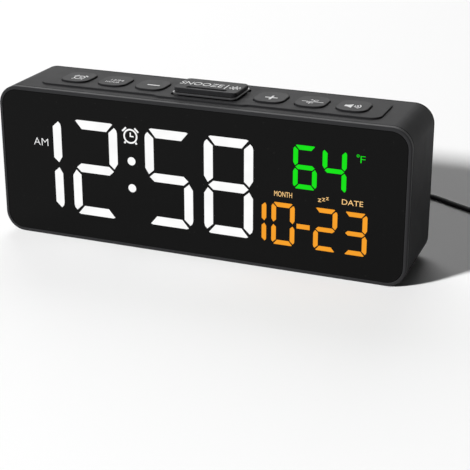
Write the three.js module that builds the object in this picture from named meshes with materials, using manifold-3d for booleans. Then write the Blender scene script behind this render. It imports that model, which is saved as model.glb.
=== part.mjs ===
// Digital alarm clock: a wide rounded case with a dark display window over its whole front, a raised
// strip of keys on top, a power socket and a battery cap on the back, and its power cord.
// Millimetres. +X is the right-hand end seen from the front, +Y the back, +Z up.
// The origin lies under the middle of the case, on the surface that the feet stand on.

import * as THREE from 'three';
import { mergeVertices } from 'three/addons/utils/BufferGeometryUtils.js';
import Module from 'manifold-3d';

const wasm = await Module();
wasm.setup();

// Case
const CASE_WIDTH = 186;
const CASE_DEPTH = 40;
const CASE_HEIGHT = 67.8;
const CASE_CORNER = 8.8;
const CASE_WALL = 2.2;
const CORNER_STEPS = 8;

// Clearances
const FIT = 0.3; // round a piece that slides or nests
const SEAT = 0.1; // between pieces that are stacked
const SEAM = 0.4; // joint line between the case's pieces
const OVER = 1; // how far a cutting shape runs past the material
const SINK = 0.3; // how far a joined shape sinks into the one it stands on
const TINY = 0.02;

// Feet
const FOOT_PROUD = 0.4;
const FOOT_THICK = 1.1;
const FOOT_RADIUS = 4.5;
const FOOT_FROM_SIDE = 20;
const FOOT_FROM_FRONT = 10;

// Front frame and window
const RIM_WIDTH = 1.5;
const RIM_ROUND = 0.7;
const RIM_SIDE = 2.6;
const TONGUE_WALL = 1.0;
const LEDGE_WIDTH = 2.4;
const LEDGE_DEPTH = 3.5;
const WINDOW_SUNK = 0.2;
const WINDOW_THICK = 1.2;

// Rear cover
const COVER_SIDE = 2.0;
const COVER_ROUND = 1.6;
const COVER_THICK = 2.0;
const COVER_LIP_WALL = 1.4;
const COVER_LIP_DEPTH = 2.5;

// Display stack behind the window
const STACK_FROM_SIDE = 5.6;
const STACK_FROM_EDGE = 9;
const FILM_THICK = 0.3;
const DIFFUSER_THICK = 0.5;
const REFLECTOR_DEPTH = 6;
const MODULE_MARGIN = 1.2;
const BOARD_THICK = 1.6;
const LED_BOARD_FROM_SIDE = 6;
const LED_BOARD_FROM_EDGE = 3.6;
const LED_POST_FROM_SIDE = 14.5;
const LAMP = { width: 1.6, height: 0.8 };
const LAMP_PROUD = 0.7;
const CELL_WALL = 0.35;

// Display: the time's four digits share the room between the case's left side and the date.
// All distances are from the case's outline, and the colon's are from the digits' own ends
const TIME = {
  fromLeft: 8.2, fromRight: 66.4, fromTop: 12.1, fromUnder: 12.2, gap: 5.1, colonGap: 13.2, bar: 4.2,
};
const COLON = { fromTop: 16.1, fromUnder: 15.1, radius: 1.8 };
const MODULES = { fromTop: 11.6, fromUnder: 11.5, gap: 7.1 };
const DEGREE_MODULE = { fromRight: 37.7, width: 22.6 };
const DATE_MODULE = { fromRight: 39.8, width: 45.6 };
const MORNING_LEGEND = { pastMiddle: 0.8, fromTop: 24.2, width: 7.4, height: 3.9 };
const ALARM_LEGEND = { fromTop: 16.6, width: 7.6, height: 7.4 };
const UNIT_LEGEND = { fromRight: 20.7, fromTop: 14.7, width: 4.2, height: 4.4 };
const MONTH_LEGEND = { fromRight: 53.1, width: 8.4, height: 2.8 };
const SLEEP_LEGEND = { fromRight: 35.9, width: 5.4, height: 3.2 };
const DATE_LEGEND = { fromRight: 23.5, width: 9.2, height: 2.8 };

// Raised key strip on top
const PANEL_FROM_SIDE = 15.7;
const PANEL_WIDTH = 24.6;
const PANEL_CORNER = 5;
const PANEL_PROUD = 0.7;
const PANEL_SUNK = 0.9;
const PANEL_ROUND = 0.3;
const COLLAR_BULGE = 1.2;
const COLLAR_PAST_BAR = 4.2;
const COLLAR_RUN = 3.4;
const COLLAR_STEPS = 5;

// Keys: half of them share each side of the strip, between the bar and the strip's end
const ROW_Y = 0; // the middle of the strip, where the keys and the bar stand
const KEY_NAMES = ['key_volume', 'key_unit', 'key_plus', 'key_minus', 'key_format', 'key_alarm'];
const KEY_FROM_BAR = 6.3;
const KEY_FROM_END = 7.4;
const KEY_GAP = 4.8;
const KEY_DEPTH = 15.4;
const KEY_CORNER = 5;
const KEY_PROUD = 1.4;
const KEY_ROUND = 0.3;
const KEY_FLANGE = 0.9;
const KEY_FLANGE_THICK = 0.8;
const STEM_RADIUS = 1.7;
const STEM_END = 4.2;

// Snooze bar
const BAR_LENGTH = 28.8;
const BAR_DEPTH = 16.8;
const BAR_CORNER = 2.4;
const BAR_PROUD = 3.6;
const BAR_ROUND = 0.5;
const BAR_TIER = 1.4;
const BAR_TIER_END = 0.3;
const BAR_TIER_LOW = 1.0;
const BAR_TIER_HIGH = 1.7;
const BAR_TIER_ROUND = 0.2;
const BAR_NECK = 0.6; // how far the bar draws in above its tier
const BAR_NECK_HIGH = 0.3;
const BAR_SKIRT = 1.0;
const BAR_POCKET = 0.9;
const BAR_RING = 0.7;
const GROOVE_LENGTH = 18.4;
const GROOVE_WIDTH = 2.2;
const GROOVE_DEEP = 0.6;
const GROOVE_FROM_FRONT = 2.9;

// Switches under the keys
const SWITCH_SIDE = 6;
const SWITCH_HEIGHT = 3.5;
const PLUNGER_RADIUS = 1.7;
const PLUNGER_PROUD = 0.9;
const PLUNGER_SUNK = 0.9;
const WELL_DEEP = 2.1;
const KEY_BOARD_OVER = 1.2;
const KEY_BOARD_FRONT = 7;
const KEY_BOARD_BACK = 8;
const KEY_POST_RADIUS = 2.3;

// Screws of the rear cover, and the posts that hold the case's pieces and the boards
const POST_RADIUS = 2.5;
const COVER_POST_RADIUS = 3;
const COVER_POST_INSET = 9;
const COVER_POST_LENGTH = 21;
const COVER_POST_RIB = 1.5;
const COVER_SCREW = { head: 2.6, headHigh: 1.8, shaft: 1.3, length: 12, sunk: 0.4 };
const PIN_RADIUS = 1.0; // of a post's end where it passes through a board
const PIN_PROUD = 0.6;
const PIN_HEAD_RADIUS = 1.8; // where the pin's end is melted over

// Main board on the rear cover, and what it carries
const MAIN_BOARD_LENGTH = 132;
const MAIN_BOARD_LOW = 10;
const UNDER_KEY_BOARD = 3.3;
const MAIN_POST_HEIGHT = 8.8;
const MAIN_POST_FROM_EDGE = 4;
const RIBBON = { width: 10, thick: 0.8, rise: 3.2, steps: 8 };
const RIBBON_PLUG = { width: 12, long: 4, deep: 3 };
const DISPLAY_RIBBON_Z = 20;
const KEY_RIBBON_BELOW = 6; // under the board's upper edge, as are the next three
const CHIP = { size: 9, thick: 1.2, x: -6, below: 18 };
const BUZZER = { x: 14, below: 16, radius: 7, height: 7, hole: 1.2, holeDeep: 2 };
const SENSOR = { x: 56, below: 10, radius: 1.6, height: 5 };
const SLOT = { count: 7, pitch: 2.6, width: 1.3, length: 13 };

// Battery cap and coin cell, round an axis along Y
const BATTERY_X = -48;
const BATTERY_Z = 33;
const CELL_RADIUS = 10;
const CELL_HEIGHT = 3.2;
const HOLDER_WALL = 1.4;
const HOLDER_FLOOR = 1.2;
const HOLDER_STEP = 2; // width of the step that the cell rests on
const HOLDER_LOW = 1; // how much lower the wall is than the cell
const CAP_RADIUS = 11.4;
const LUG_REACH = 2.4;
const LUG_WIDTH = 5;
const LUG_THICK = 0.9;
const CAP_TURN = 45;
const COIN_SLOT = { length: 13, width: 1.8, deep: 1.0 };

// Power socket
const SOCKET_X = 50;
const SOCKET_Z = 17;
const SOCKET_INNER_WIDTH = 8.4;
const SOCKET_INNER_HEIGHT = 2.6;
const SOCKET_WALL = 0.35;
const SOCKET_MOUTH_SUNK = 0.6;
const TONGUE = { width: 6.6, thick: 0.7, length: 4.4 };

// Cord and its two plugs
const CORD_DIAMETER = 2.2;
const CORD_SIDES = 8;
const STRAIGHT = 2.4; // of the cord at each end of a stretch
const NOSE = { width: 8.2, height: 2.4, wall: 0.35, length: 6, floor: 1 };
const GRIP_C = { width: 12, height: 6.4, length: 19, round: 1.2 };
const RELIEF = { length: 9, wide: 2.4, narrow: 1.8, ribs: 4, ribShare: 0.62, neck: 0.35 };
const GRIP_A = { width: 15.6, height: 7.6, length: 22, round: 1.4, corner: 2.2 };
const SHELL_A = {
  width: 12, height: 4.5, wall: 0.35, length: 12, floor: 1, corner: 0.6, insertThick: 1.8, insertShort: 0.6,
};
const FAR_PLUG_X = 159;
const FAR_PLUG_Y = -3; // where its grip meets its metal shell
const COIL_X = 130;
const COIL_Y = 42;
const COIL_STEP = 3.0;
const COIL_MEAN = 13.2;
const COIL_LAYERS = 4;
const COIL_TURNS = 2.1;
const HALF_TURN = 0.5;
const COIL_START = 64.6; // degrees round from +X
const COIL_LOOP_STEPS = 24;
const COIL_SIDES = 6;
const TIE_THICK = 0.5;
const TIE_WIDTH = 4;
const TIE_CORNER = 1.2;
const TIE_ANGLE = 250; // degrees round from +X
const REST_GAP = 0.05; // under what lies on the surface

// Levels worked out from the driving sizes
const FRONT = -CASE_DEPTH / 2;
const BACK = CASE_DEPTH / 2;
const BOTTOM = FOOT_PROUD;
const TOP = BOTTOM + CASE_HEIGHT;
const MIDDLE = BOTTOM + CASE_HEIGHT / 2;
const STACK_FRONT = FRONT + WINDOW_SUNK + WINDOW_THICK + SEAT;
const LEDGE_BACK = STACK_FRONT + LEDGE_DEPTH;
const DIFFUSER_FRONT = STACK_FRONT + FILM_THICK + SEAT;
const REFLECTOR_FRONT = DIFFUSER_FRONT + DIFFUSER_THICK + SEAT;
const LED_BOARD_FRONT = REFLECTOR_FRONT + REFLECTOR_DEPTH + LAMP_PROUD + SEAT;
const LED_BOARD_BACK = LED_BOARD_FRONT + BOARD_THICK;
const COVER_INSIDE = BACK - COVER_THICK;
const MAIN_BOARD_BACK = COVER_INSIDE - MAIN_POST_HEIGHT - SEAT;
const MAIN_BOARD_FRONT = MAIN_BOARD_BACK - BOARD_THICK;
const PANEL_LOW = TOP - PANEL_SUNK;
const STEM_LOW = TOP - STEM_END;
const PLUNGER_TOP = STEM_LOW - SEAT;
const SWITCH_TOP = PLUNGER_TOP - PLUNGER_PROUD;
const KEY_BOARD_TOP = SWITCH_TOP - SWITCH_HEIGHT - SEAT;
const MAIN_BOARD_HIGH = KEY_BOARD_TOP - BOARD_THICK - UNDER_KEY_BOARD;
const KEY_RIBBON_Z = MAIN_BOARD_HIGH - KEY_RIBBON_BELOW;
const BUZZER_Z = MAIN_BOARD_HIGH - BUZZER.below;

// Widths worked out from the driving sizes
const PANEL_LENGTH = CASE_WIDTH - 2 * PANEL_FROM_SIDE;
const COLLAR_HALF = BAR_LENGTH / 2 + COLLAR_PAST_BAR;
const SIDE_KEYS = KEY_NAMES.length / 2;
const SIDE_ROOM = PANEL_LENGTH / 2 - KEY_FROM_END - BAR_LENGTH / 2 - KEY_FROM_BAR;
const KEY_WIDTH = (SIDE_ROOM - (SIDE_KEYS - 1) * KEY_GAP) / SIDE_KEYS;
const KEY_FIRST = BAR_LENGTH / 2 + KEY_FROM_BAR + KEY_WIDTH / 2;

const LEAD_REST = CORD_DIAMETER / 2 + REST_GAP;

const clock = new THREE.Group();

const MATERIALS = {
  case: new THREE.MeshStandardMaterial({ color: 0x2c2c2e, roughness: 0.5, metalness: 0 }),
  window: new THREE.MeshStandardMaterial({ color: 0x0c0c0d, roughness: 0.12, metalness: 0 }),
  dark: new THREE.MeshStandardMaterial({ color: 0x080808, roughness: 0.8, metalness: 0 }),
  white: new THREE.MeshStandardMaterial({ color: 0xe8e8e6, roughness: 0.6, metalness: 0 }),
  board: new THREE.MeshStandardMaterial({ color: 0x1f4d2e, roughness: 0.5, metalness: 0 }),
  switch: new THREE.MeshStandardMaterial({ color: 0x3a3a3c, roughness: 0.5, metalness: 0 }),
  rubber: new THREE.MeshStandardMaterial({ color: 0x161616, roughness: 0.85, metalness: 0 }),
  steel: new THREE.MeshStandardMaterial({ color: 0xb9bbbe, roughness: 0.32, metalness: 1 }),
  cord: new THREE.MeshStandardMaterial({ color: 0x131313, roughness: 0.6, metalness: 0 }),
};

function addPiece(name, geometry, material) {
  const mesh = new THREE.Mesh(geometry, MATERIALS[material]);
  mesh.name = name;
  clock.add(mesh);
}

// Solids: a closed geometry becomes a solid for joining and cutting, and back again
function toSolid(geometry) {
  const bare = new THREE.BufferGeometry();
  bare.setAttribute('position', geometry.attributes.position.clone());
  if (geometry.index) bare.setIndex(geometry.index.clone());
  const merged = mergeVertices(bare, 1e-4);
  const vertProperties = Float32Array.from(merged.attributes.position.array);
  const triVerts = Uint32Array.from(merged.index.array);
  return new wasm.Manifold(new wasm.Mesh({ numProp: 3, vertProperties, triVerts }));
}

function fromSolid(solid) {
  const mesh = solid.getMesh();
  const geometry = new THREE.BufferGeometry();
  geometry.setAttribute('position', new THREE.BufferAttribute(mesh.vertProperties, 3));
  geometry.setIndex(new THREE.BufferAttribute(mesh.triVerts, 1));
  return geometry;
}

function join(base, ...others) {
  return fromSolid(others.reduce((solid, other) => solid.add(toSolid(other)), toSolid(base)));
}

function cut(base, ...tools) {
  return fromSolid(tools.reduce((solid, tool) => solid.subtract(toSolid(tool)), toSolid(base)));
}

// Plain shapes, placed by their limits
function block(x0, x1, y0, y1, z0, z1) {
  const box = new THREE.BoxGeometry(x1 - x0, y1 - y0, z1 - z0);
  return box.translate((x0 + x1) / 2, (y0 + y1) / 2, (z0 + z1) / 2);
}

function rodAlongY(radius, y0, y1, x, z, sides = 12) {
  return new THREE.CylinderGeometry(radius, radius, y1 - y0, sides).translate(x, (y0 + y1) / 2, z);
}

function rodAlongZ(radius, z0, z1, x, y, sides = 12) {
  const rod = new THREE.CylinderGeometry(radius, radius, z1 - z0, sides).rotateX(Math.PI / 2);
  return rod.translate(x, y, (z0 + z1) / 2);
}

// Outline of a rounded rectangle round the origin, anticlockwise, with no two points in one place
function roundedOutline(width, height, radius, steps = CORNER_STEPS) {
  const corner = Math.max(Math.min(radius, width / 2 - TINY, height / 2 - TINY), TINY);
  const points = [];
  for (let quarter = 0; quarter < 4; quarter++) {
    const signX = quarter === 0 || quarter === 3 ? 1 : -1;
    const signY = quarter < 2 ? 1 : -1;
    for (let step = 0; step <= steps; step++) {
      const angle = (quarter + step / steps) * Math.PI / 2;
      const u = signX * (width / 2 - corner) + corner * Math.cos(angle);
      const v = signY * (height / 2 - corner) + corner * Math.sin(angle);
      points.push([u, v]);
    }
  }
  return points;
}

function signedVolume(positions, triangles) {
  let volume = 0;
  const corner = [new THREE.Vector3(), new THREE.Vector3(), new THREE.Vector3()];
  for (let i = 0; i < triangles.length; i += 3) {
    corner.forEach((point, k) => point.fromArray(positions, 3 * triangles[i + k]));
    volume += corner[0].dot(corner[1].clone().cross(corner[2]));
  }
  return volume;
}

// Skin through rings of points; a closed one returns to its first ring, an open one is capped
function loft(rings, closed, capOutline) {
  const count = rings[0].length;
  const positions = rings.flat(2);
  const triangles = [];
  const spans = closed ? rings.length : rings.length - 1;
  for (let ring = 0; ring < spans; ring++) {
    const low = ring * count;
    const high = ((ring + 1) % rings.length) * count;
    for (let i = 0; i < count; i++) {
      const next = (i + 1) % count;
      triangles.push(low + i, low + next, high + next, low + i, high + next, high + i);
    }
  }
  if (!closed) {
    const flat = capOutline.map(([u, v]) => new THREE.Vector2(u, v));
    const last = (rings.length - 1) * count;
    for (const [a, b, c] of THREE.ShapeUtils.triangulateShape(flat, [])) {
      triangles.push(c, b, a, last + a, last + b, last + c);
    }
  }
  if (signedVolume(positions, triangles) < 0) {
    for (let i = 0; i < triangles.length; i += 3) {
      [triangles[i], triangles[i + 1]] = [triangles[i + 1], triangles[i]];
    }
  }
  const geometry = new THREE.BufferGeometry();
  geometry.setAttribute('position', new THREE.Float32BufferAttribute(positions, 3));
  geometry.setIndex(triangles);
  return geometry;
}

// Case pieces: a profile of [inset from the case's outline, y] carried round the case
function caseRing([inset, y]) {
  const outline = roundedOutline(CASE_WIDTH - 2 * inset, CASE_HEIGHT - 2 * inset, CASE_CORNER - inset);
  return outline.map(([x, z]) => [x, y, z + MIDDLE]);
}

function caseLoft(profile, closed) {
  return loft(profile.map(caseRing), closed, roundedOutline(CASE_WIDTH, CASE_HEIGHT, CASE_CORNER));
}

// Upright pads: [inset, z] up a rounded rectangle round (x, y)
function padLoft(x, y, width, depth, radius, steps, profile) {
  const rings = profile.map(([inset, z]) => {
    const outline = roundedOutline(width - 2 * inset, depth - 2 * inset, radius - inset, steps);
    return outline.map(([u, v]) => [x + u, y + v, z]);
  });
  return loft(rings, false, roundedOutline(width, depth, radius, steps));
}

// Quarter round from [0, low] up to [radius, low + radius], as [inset, height] pairs
function quarterRound(radius, low, steps = 3) {
  return Array.from({ length: steps + 1 }, (_, step) => {
    const angle = (step / steps) * Math.PI / 2;
    return [radius * (1 - Math.cos(angle)), low + radius * Math.sin(angle)];
  });
}

// Screw along +Z from its head, its drive a cross
function screwGeometry({ head, headHigh, shaft, length }) {
  const profile = [[0, -length], [shaft, -length], [shaft, 0], [head, 0], [head, headHigh * 0.6],
    [head * 0.75, headHigh], [0, headHigh]].map(([r, h]) => new THREE.Vector2(r, h));
  const body = new THREE.LatheGeometry(profile, 10).rotateX(Math.PI / 2);
  const deep = headHigh * 0.6;
  const long = head * 0.62;
  const thin = head * 0.13;
  return cut(body, block(-long, long, -thin, thin, headHigh - deep, headHigh + 1),
    block(-thin, thin, -long, long, headHigh - deep, headHigh + 1));
}

// Post from start to end, which is towards a board, and its pin, melted over past the board
function pinnedPost(start, end, x, z) {
  const towards = Math.sign(end - start);
  const headNear = end + towards * (BOARD_THICK + 2 * SEAT);
  const headFar = headNear + towards * PIN_PROUD;
  const span = (a, b) => [Math.min(a, b), Math.max(a, b)];
  return [
    rodAlongY(POST_RADIUS, ...span(start, end), x, z),
    rodAlongY(PIN_RADIUS, ...span(end - towards * OVER, headNear + towards * SINK), x, z, 8),
    rodAlongY(PIN_HEAD_RADIUS, ...span(headNear, headFar), x, z),
  ];
}

function addFrame() {
  const rimRound = quarterRound(RIM_ROUND, 0, 4).map(([inset, rise]) => [inset, FRONT + RIM_ROUND - rise]);
  const ring = caseLoft([
    [RIM_WIDTH, FRONT],
    ...rimRound.reverse(),
    [0, FRONT + RIM_SIDE],
    [TONGUE_WALL + FIT, FRONT + RIM_SIDE],
    [TONGUE_WALL + FIT, LEDGE_BACK],
    [RIM_WIDTH + LEDGE_WIDTH, LEDGE_BACK],
    [RIM_WIDTH + LEDGE_WIDTH, STACK_FRONT],
    [RIM_WIDTH, STACK_FRONT],
  ], true);
  const posts = ledPosts().flatMap(([x, z]) => pinnedPost(LEDGE_BACK - OVER, LED_BOARD_FRONT - SEAT, x, z));
  addPiece('front_frame', join(ring, ...posts), 'case');
}

function ledPosts() {
  const x = CASE_WIDTH / 2 - LED_POST_FROM_SIDE;
  const z = CASE_HEIGHT / 2 - RIM_WIDTH - LEDGE_WIDTH - POST_RADIUS + 2 * SINK;
  return [[-x, MIDDLE - z], [-x, MIDDLE + z], [x, MIDDLE - z], [x, MIDDLE + z]];
}

function addWindow() {
  const inset = RIM_WIDTH + SEAT;
  const face = FRONT + WINDOW_SUNK;
  addPiece('display_window', caseLoft([[inset, face], [inset, face + WINDOW_THICK]], false), 'window');
}

function coverPosts() {
  const x = CASE_WIDTH / 2 - COVER_POST_INSET;
  const z = CASE_HEIGHT / 2 - COVER_POST_INSET;
  return [[-x, MIDDLE - z], [-x, MIDDLE + z], [x, MIDDLE - z], [x, MIDDLE + z]];
}

function footPlaces() {
  const x = CASE_WIDTH / 2 - FOOT_FROM_SIDE;
  const y = CASE_DEPTH / 2 - FOOT_FROM_FRONT;
  return [[-x, -y], [x, -y], [-x, y], [x, y]];
}

function keyPostX() {
  const slotHalf = keyPlaces().at(0).x + KEY_WIDTH / 2 + KEY_FLANGE + FIT + SEAM;
  return slotHalf + KEY_POST_RADIUS + SEAM;
}

function addHousing() {
  const start = FRONT + RIM_SIDE + SEAM;
  const end = BACK - COVER_SIDE - SEAM;
  const rebate = LEDGE_BACK + FIT;
  const sleeve = caseLoft([[0, start], [0, end], [CASE_WALL, end], [CASE_WALL, rebate],
    [TONGUE_WALL, rebate], [TONGUE_WALL, start]], true);
  const postEnd = coverPostEnd() - SEAT;
  const additions = [];
  const cuts = [];
  for (const [x, z] of coverPosts()) {
    const wall = z < MIDDLE ? BOTTOM + CASE_WALL / 2 : TOP - CASE_WALL / 2;
    additions.push(rodAlongY(COVER_POST_RADIUS, postEnd - COVER_POST_LENGTH, postEnd, x, z));
    additions.push(block(x - COVER_POST_RIB / 2, x + COVER_POST_RIB / 2, postEnd - COVER_POST_LENGTH,
      postEnd - COVER_LIP_DEPTH, Math.min(wall, z), Math.max(wall, z)));
    cuts.push(rodAlongY(COVER_SCREW.shaft + FIT, postEnd - COVER_SCREW.length, postEnd + OVER, x, z));
  }
  const boardLow = KEY_BOARD_TOP - BOARD_THICK - SEAT;
  for (const x of [-keyPostX(), keyPostX()]) {
    additions.push(rodAlongZ(KEY_POST_RADIUS, KEY_BOARD_TOP + SEAT, TOP - CASE_WALL / 2, x, 0));
    additions.push(rodAlongZ(PIN_RADIUS, boardLow - SINK, KEY_BOARD_TOP + OVER, x, 0, 8));
    additions.push(rodAlongZ(PIN_HEAD_RADIUS, boardLow - PIN_PROUD, boardLow, x, 0));
  }
  for (const [x, y] of footPlaces()) {
    cuts.push(rodAlongZ(FOOT_RADIUS + FIT, BOTTOM - OVER, FOOT_THICK + SEAT, x, y, 16));
  }
  const slotWidth = 2 * (keyPostX() - KEY_POST_RADIUS - SEAM);
  const slotDepth = Math.max(KEY_DEPTH, BAR_DEPTH) + 2 * (KEY_FLANGE + FIT);
  cuts.push(panelSolid(FIT, PANEL_LOW - SEAT, TOP + OVER, 0));
  cuts.push(padLoft(0, ROW_Y, slotWidth, slotDepth, KEY_CORNER, 4,
    [[0, TOP - CASE_WALL - OVER], [0, PANEL_LOW + OVER]]));
  addPiece('housing_shell', cut(join(sleeve, ...additions), ...cuts), 'case');
}

// Key strip: its outline swells forward and back round the snooze bar
function panelOutline(grow) {
  const halfWidth = PANEL_WIDTH / 2 + grow;
  const corners = roundedOutline(PANEL_LENGTH + 2 * grow, PANEL_WIDTH + 2 * grow, PANEL_CORNER + grow);
  const swell = [];
  for (let step = 0; step <= COLLAR_STEPS; step++) {
    const share = step / COLLAR_STEPS;
    const rise = COLLAR_BULGE * (1 - Math.cos(Math.PI * share)) / 2;
    swell.push([COLLAR_HALF + COLLAR_RUN * (1 - share), halfWidth + rise]);
  }
  const back = [...swell, ...swell.map(([x, y]) => [-x, y]).reverse()];
  const front = back.map(([x, y]) => [-x, -y]);
  const quarter = corners.length / 4;
  return [...corners.slice(0, quarter), ...back, ...corners.slice(quarter, 3 * quarter), ...front,
    ...corners.slice(3 * quarter)];
}

function panelSolid(grow, low, high, round) {
  const levels = round > 0
    ? [[0, low], ...quarterRound(round, high - round, 2)]
    : [[0, low], [0, high]];
  const rings = levels.map(([inset, z]) => panelOutline(grow - inset).map(([x, y]) => [x, y, z]));
  return loft(rings, false, panelOutline(grow));
}

function keyPlaces() {
  return KEY_NAMES.map((name, index) => {
    const fromBar = index < SIDE_KEYS ? SIDE_KEYS - 1 - index : index - SIDE_KEYS;
    const side = index < SIDE_KEYS ? 1 : -1;
    return { name, x: side * (KEY_FIRST + (KEY_WIDTH + KEY_GAP) * fromBar) };
  });
}

function addPanel() {
  const body = panelSolid(0, PANEL_LOW, TOP + PANEL_PROUD, PANEL_ROUND);
  const openings = keyPlaces().map(({ x }) => padLoft(x, ROW_Y, KEY_WIDTH + 2 * FIT, KEY_DEPTH + 2 * FIT,
    KEY_CORNER + FIT, 4, [[0, PANEL_LOW - OVER], [0, TOP + PANEL_PROUD + OVER]]));
  const pocket = tierPad(BAR_RING, [[0, TOP + PANEL_PROUD - BAR_POCKET], [0, TOP + PANEL_PROUD + OVER]]);
  const hole = padLoft(0, ROW_Y, BAR_LENGTH - 2 * (BAR_SKIRT - FIT), BAR_DEPTH - 2 * (BAR_SKIRT - FIT),
    BAR_CORNER - BAR_SKIRT + FIT, 5, [[0, PANEL_LOW - OVER], [0, TOP + PANEL_PROUD]]);
  addPiece('button_panel', cut(body, ...openings, pocket, hole), 'case');
}

function addKeys() {
  const flangeTop = PANEL_LOW - FIT;
  for (const { name, x } of keyPlaces()) {
    const cap = padLoft(x, ROW_Y, KEY_WIDTH, KEY_DEPTH, KEY_CORNER, 4, [
      [-KEY_FLANGE, flangeTop - KEY_FLANGE_THICK],
      [-KEY_FLANGE, flangeTop],
      [0, flangeTop],
      ...quarterRound(KEY_ROUND, TOP + KEY_PROUD - KEY_ROUND, 2),
    ]);
    const stem = rodAlongZ(STEM_RADIUS, STEM_LOW, flangeTop - SINK, x, ROW_Y, 10);
    addPiece(name, join(cap, stem), 'case');
  }
}

// Outline of the bar's lower tier, wider in front and behind than at its ends, grown by a margin
function tierPad(grow, profile) {
  return padLoft(0, ROW_Y, BAR_LENGTH + 2 * (BAR_TIER_END + grow), BAR_DEPTH + 2 * (BAR_TIER + grow),
    BAR_CORNER + BAR_TIER_END + grow, 5, profile);
}

function addSnoozeBar() {
  const flangeTop = PANEL_LOW - FIT;
  const body = padLoft(0, ROW_Y, BAR_LENGTH, BAR_DEPTH, BAR_CORNER, 6, [
    [BAR_SKIRT - KEY_FLANGE, flangeTop - KEY_FLANGE_THICK],
    [BAR_SKIRT - KEY_FLANGE, flangeTop],
    [BAR_SKIRT, flangeTop],
    [BAR_SKIRT, TOP + BAR_TIER_LOW],
    [BAR_NECK, TOP + BAR_TIER_LOW],
    [BAR_NECK, TOP + BAR_TIER_HIGH + BAR_NECK_HIGH],
    [0, TOP + BAR_TIER_HIGH + BAR_NECK_HIGH],
    ...quarterRound(BAR_ROUND, TOP + BAR_PROUD - BAR_ROUND),
  ]);
  const tier = tierPad(0, [
    [0, TOP + BAR_TIER_LOW],
    [0, TOP + BAR_TIER_HIGH - BAR_TIER_ROUND],
    [BAR_TIER_ROUND, TOP + BAR_TIER_HIGH],
  ]);
  const stem = rodAlongZ(STEM_RADIUS, STEM_LOW, flangeTop - SINK, 0, ROW_Y, 10);
  const grooveY = ROW_Y - BAR_DEPTH / 2 + GROOVE_FROM_FRONT;
  const groove = padLoft(0, grooveY, GROOVE_LENGTH, GROOVE_WIDTH, GROOVE_WIDTH / 2, 3,
    [[0, TOP + BAR_PROUD - GROOVE_DEEP], [0, TOP + BAR_PROUD + OVER]]);
  addPiece('snooze_bar', cut(join(body, tier, stem), groove), 'case');
}

// Switches, one under each key and one under the bar, on the key board
function switchPlaces() {
  const underKeys = keyPlaces().map(({ name, x }) => ({ name: name.replace('key_', ''), x }));
  return [...underKeys, { name: 'snooze', x: 0 }];
}

function addSwitches() {
  for (const { name, x } of switchPlaces()) {
    const half = SWITCH_SIDE / 2;
    const body = block(x - half, x + half, ROW_Y - half, ROW_Y + half,
      SWITCH_TOP - SWITCH_HEIGHT, SWITCH_TOP);
    const well = rodAlongZ(PLUNGER_RADIUS + FIT, SWITCH_TOP - WELL_DEEP, SWITCH_TOP + OVER, x, ROW_Y, 10);
    const plunger = rodAlongZ(PLUNGER_RADIUS, SWITCH_TOP - PLUNGER_SUNK, PLUNGER_TOP, x, ROW_Y, 10);
    addPiece(`switch_${name}`, cut(body, well), 'switch');
    addPiece(`plunger_${name}`, plunger, 'white');
  }
}

function addKeyBoard() {
  const half = keyPostX() + KEY_POST_RADIUS + KEY_BOARD_OVER;
  const low = KEY_BOARD_TOP - BOARD_THICK;
  const board = block(-half, half, -KEY_BOARD_FRONT, KEY_BOARD_BACK, low, KEY_BOARD_TOP);
  const holes = [-keyPostX(), keyPostX()].map((x) => rodAlongZ(PIN_RADIUS + FIT, low - OVER,
    KEY_BOARD_TOP + OVER, x, 0, 8));
  addPiece('key_board', cut(board, ...holes), 'board');
}

// Display: the large digits' common size, their left edges and the colon's middle
function timeLayout() {
  const { fromLeft, fromRight, fromTop, fromUnder, gap, colonGap } = TIME;
  const height = CASE_HEIGHT - fromTop - fromUnder;
  const width = (CASE_WIDTH - fromLeft - fromRight - 2 * gap - colonGap) / 4;
  const hours = fromLeft - CASE_WIDTH / 2;
  const minutes = hours + 2 * width + gap + colonGap;
  const lefts = [hours, hours + width + gap, minutes, minutes + width + gap];
  return { width, height, lefts, colonX: minutes - colonGap / 2 };
}

function moduleHeight() {
  return (CASE_HEIGHT - MODULES.fromTop - MODULES.fromUnder - MODULES.gap) / 2;
}

function modulePlaces() {
  const height = moduleHeight();
  const degreeZ = CASE_HEIGHT - MODULES.fromTop - height / 2;
  const dateZ = MODULES.fromUnder + height / 2;
  const place = (name, { fromRight, width }, z) => ({
    name, x: CASE_WIDTH / 2 - fromRight, z, width, height,
  });
  return [place('degree_module', DEGREE_MODULE, degreeZ), place('date_module', DATE_MODULE, dateZ)];
}

// A light cell for each bar of a large digit, each legend and each dot of the colon
function digitCells(left, width, height) {
  const { bar, fromUnder } = TIME;
  const level = [bar / 2, height / 2, height - bar / 2].map((rise) => ({
    x: left + width / 2, z: fromUnder + rise, width: width - 2 * bar, height: bar - 2 * CELL_WALL,
  }));
  const upright = [bar / 2, width - bar / 2].flatMap((across) => [-1, 1].map((side) => ({
    x: left + across, z: fromUnder + height / 2 + side * (height - bar) / 4, width: bar - 2 * CELL_WALL,
    height: height / 2 - 1.5 * bar,
  })));
  return [...level, ...upright];
}

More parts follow.
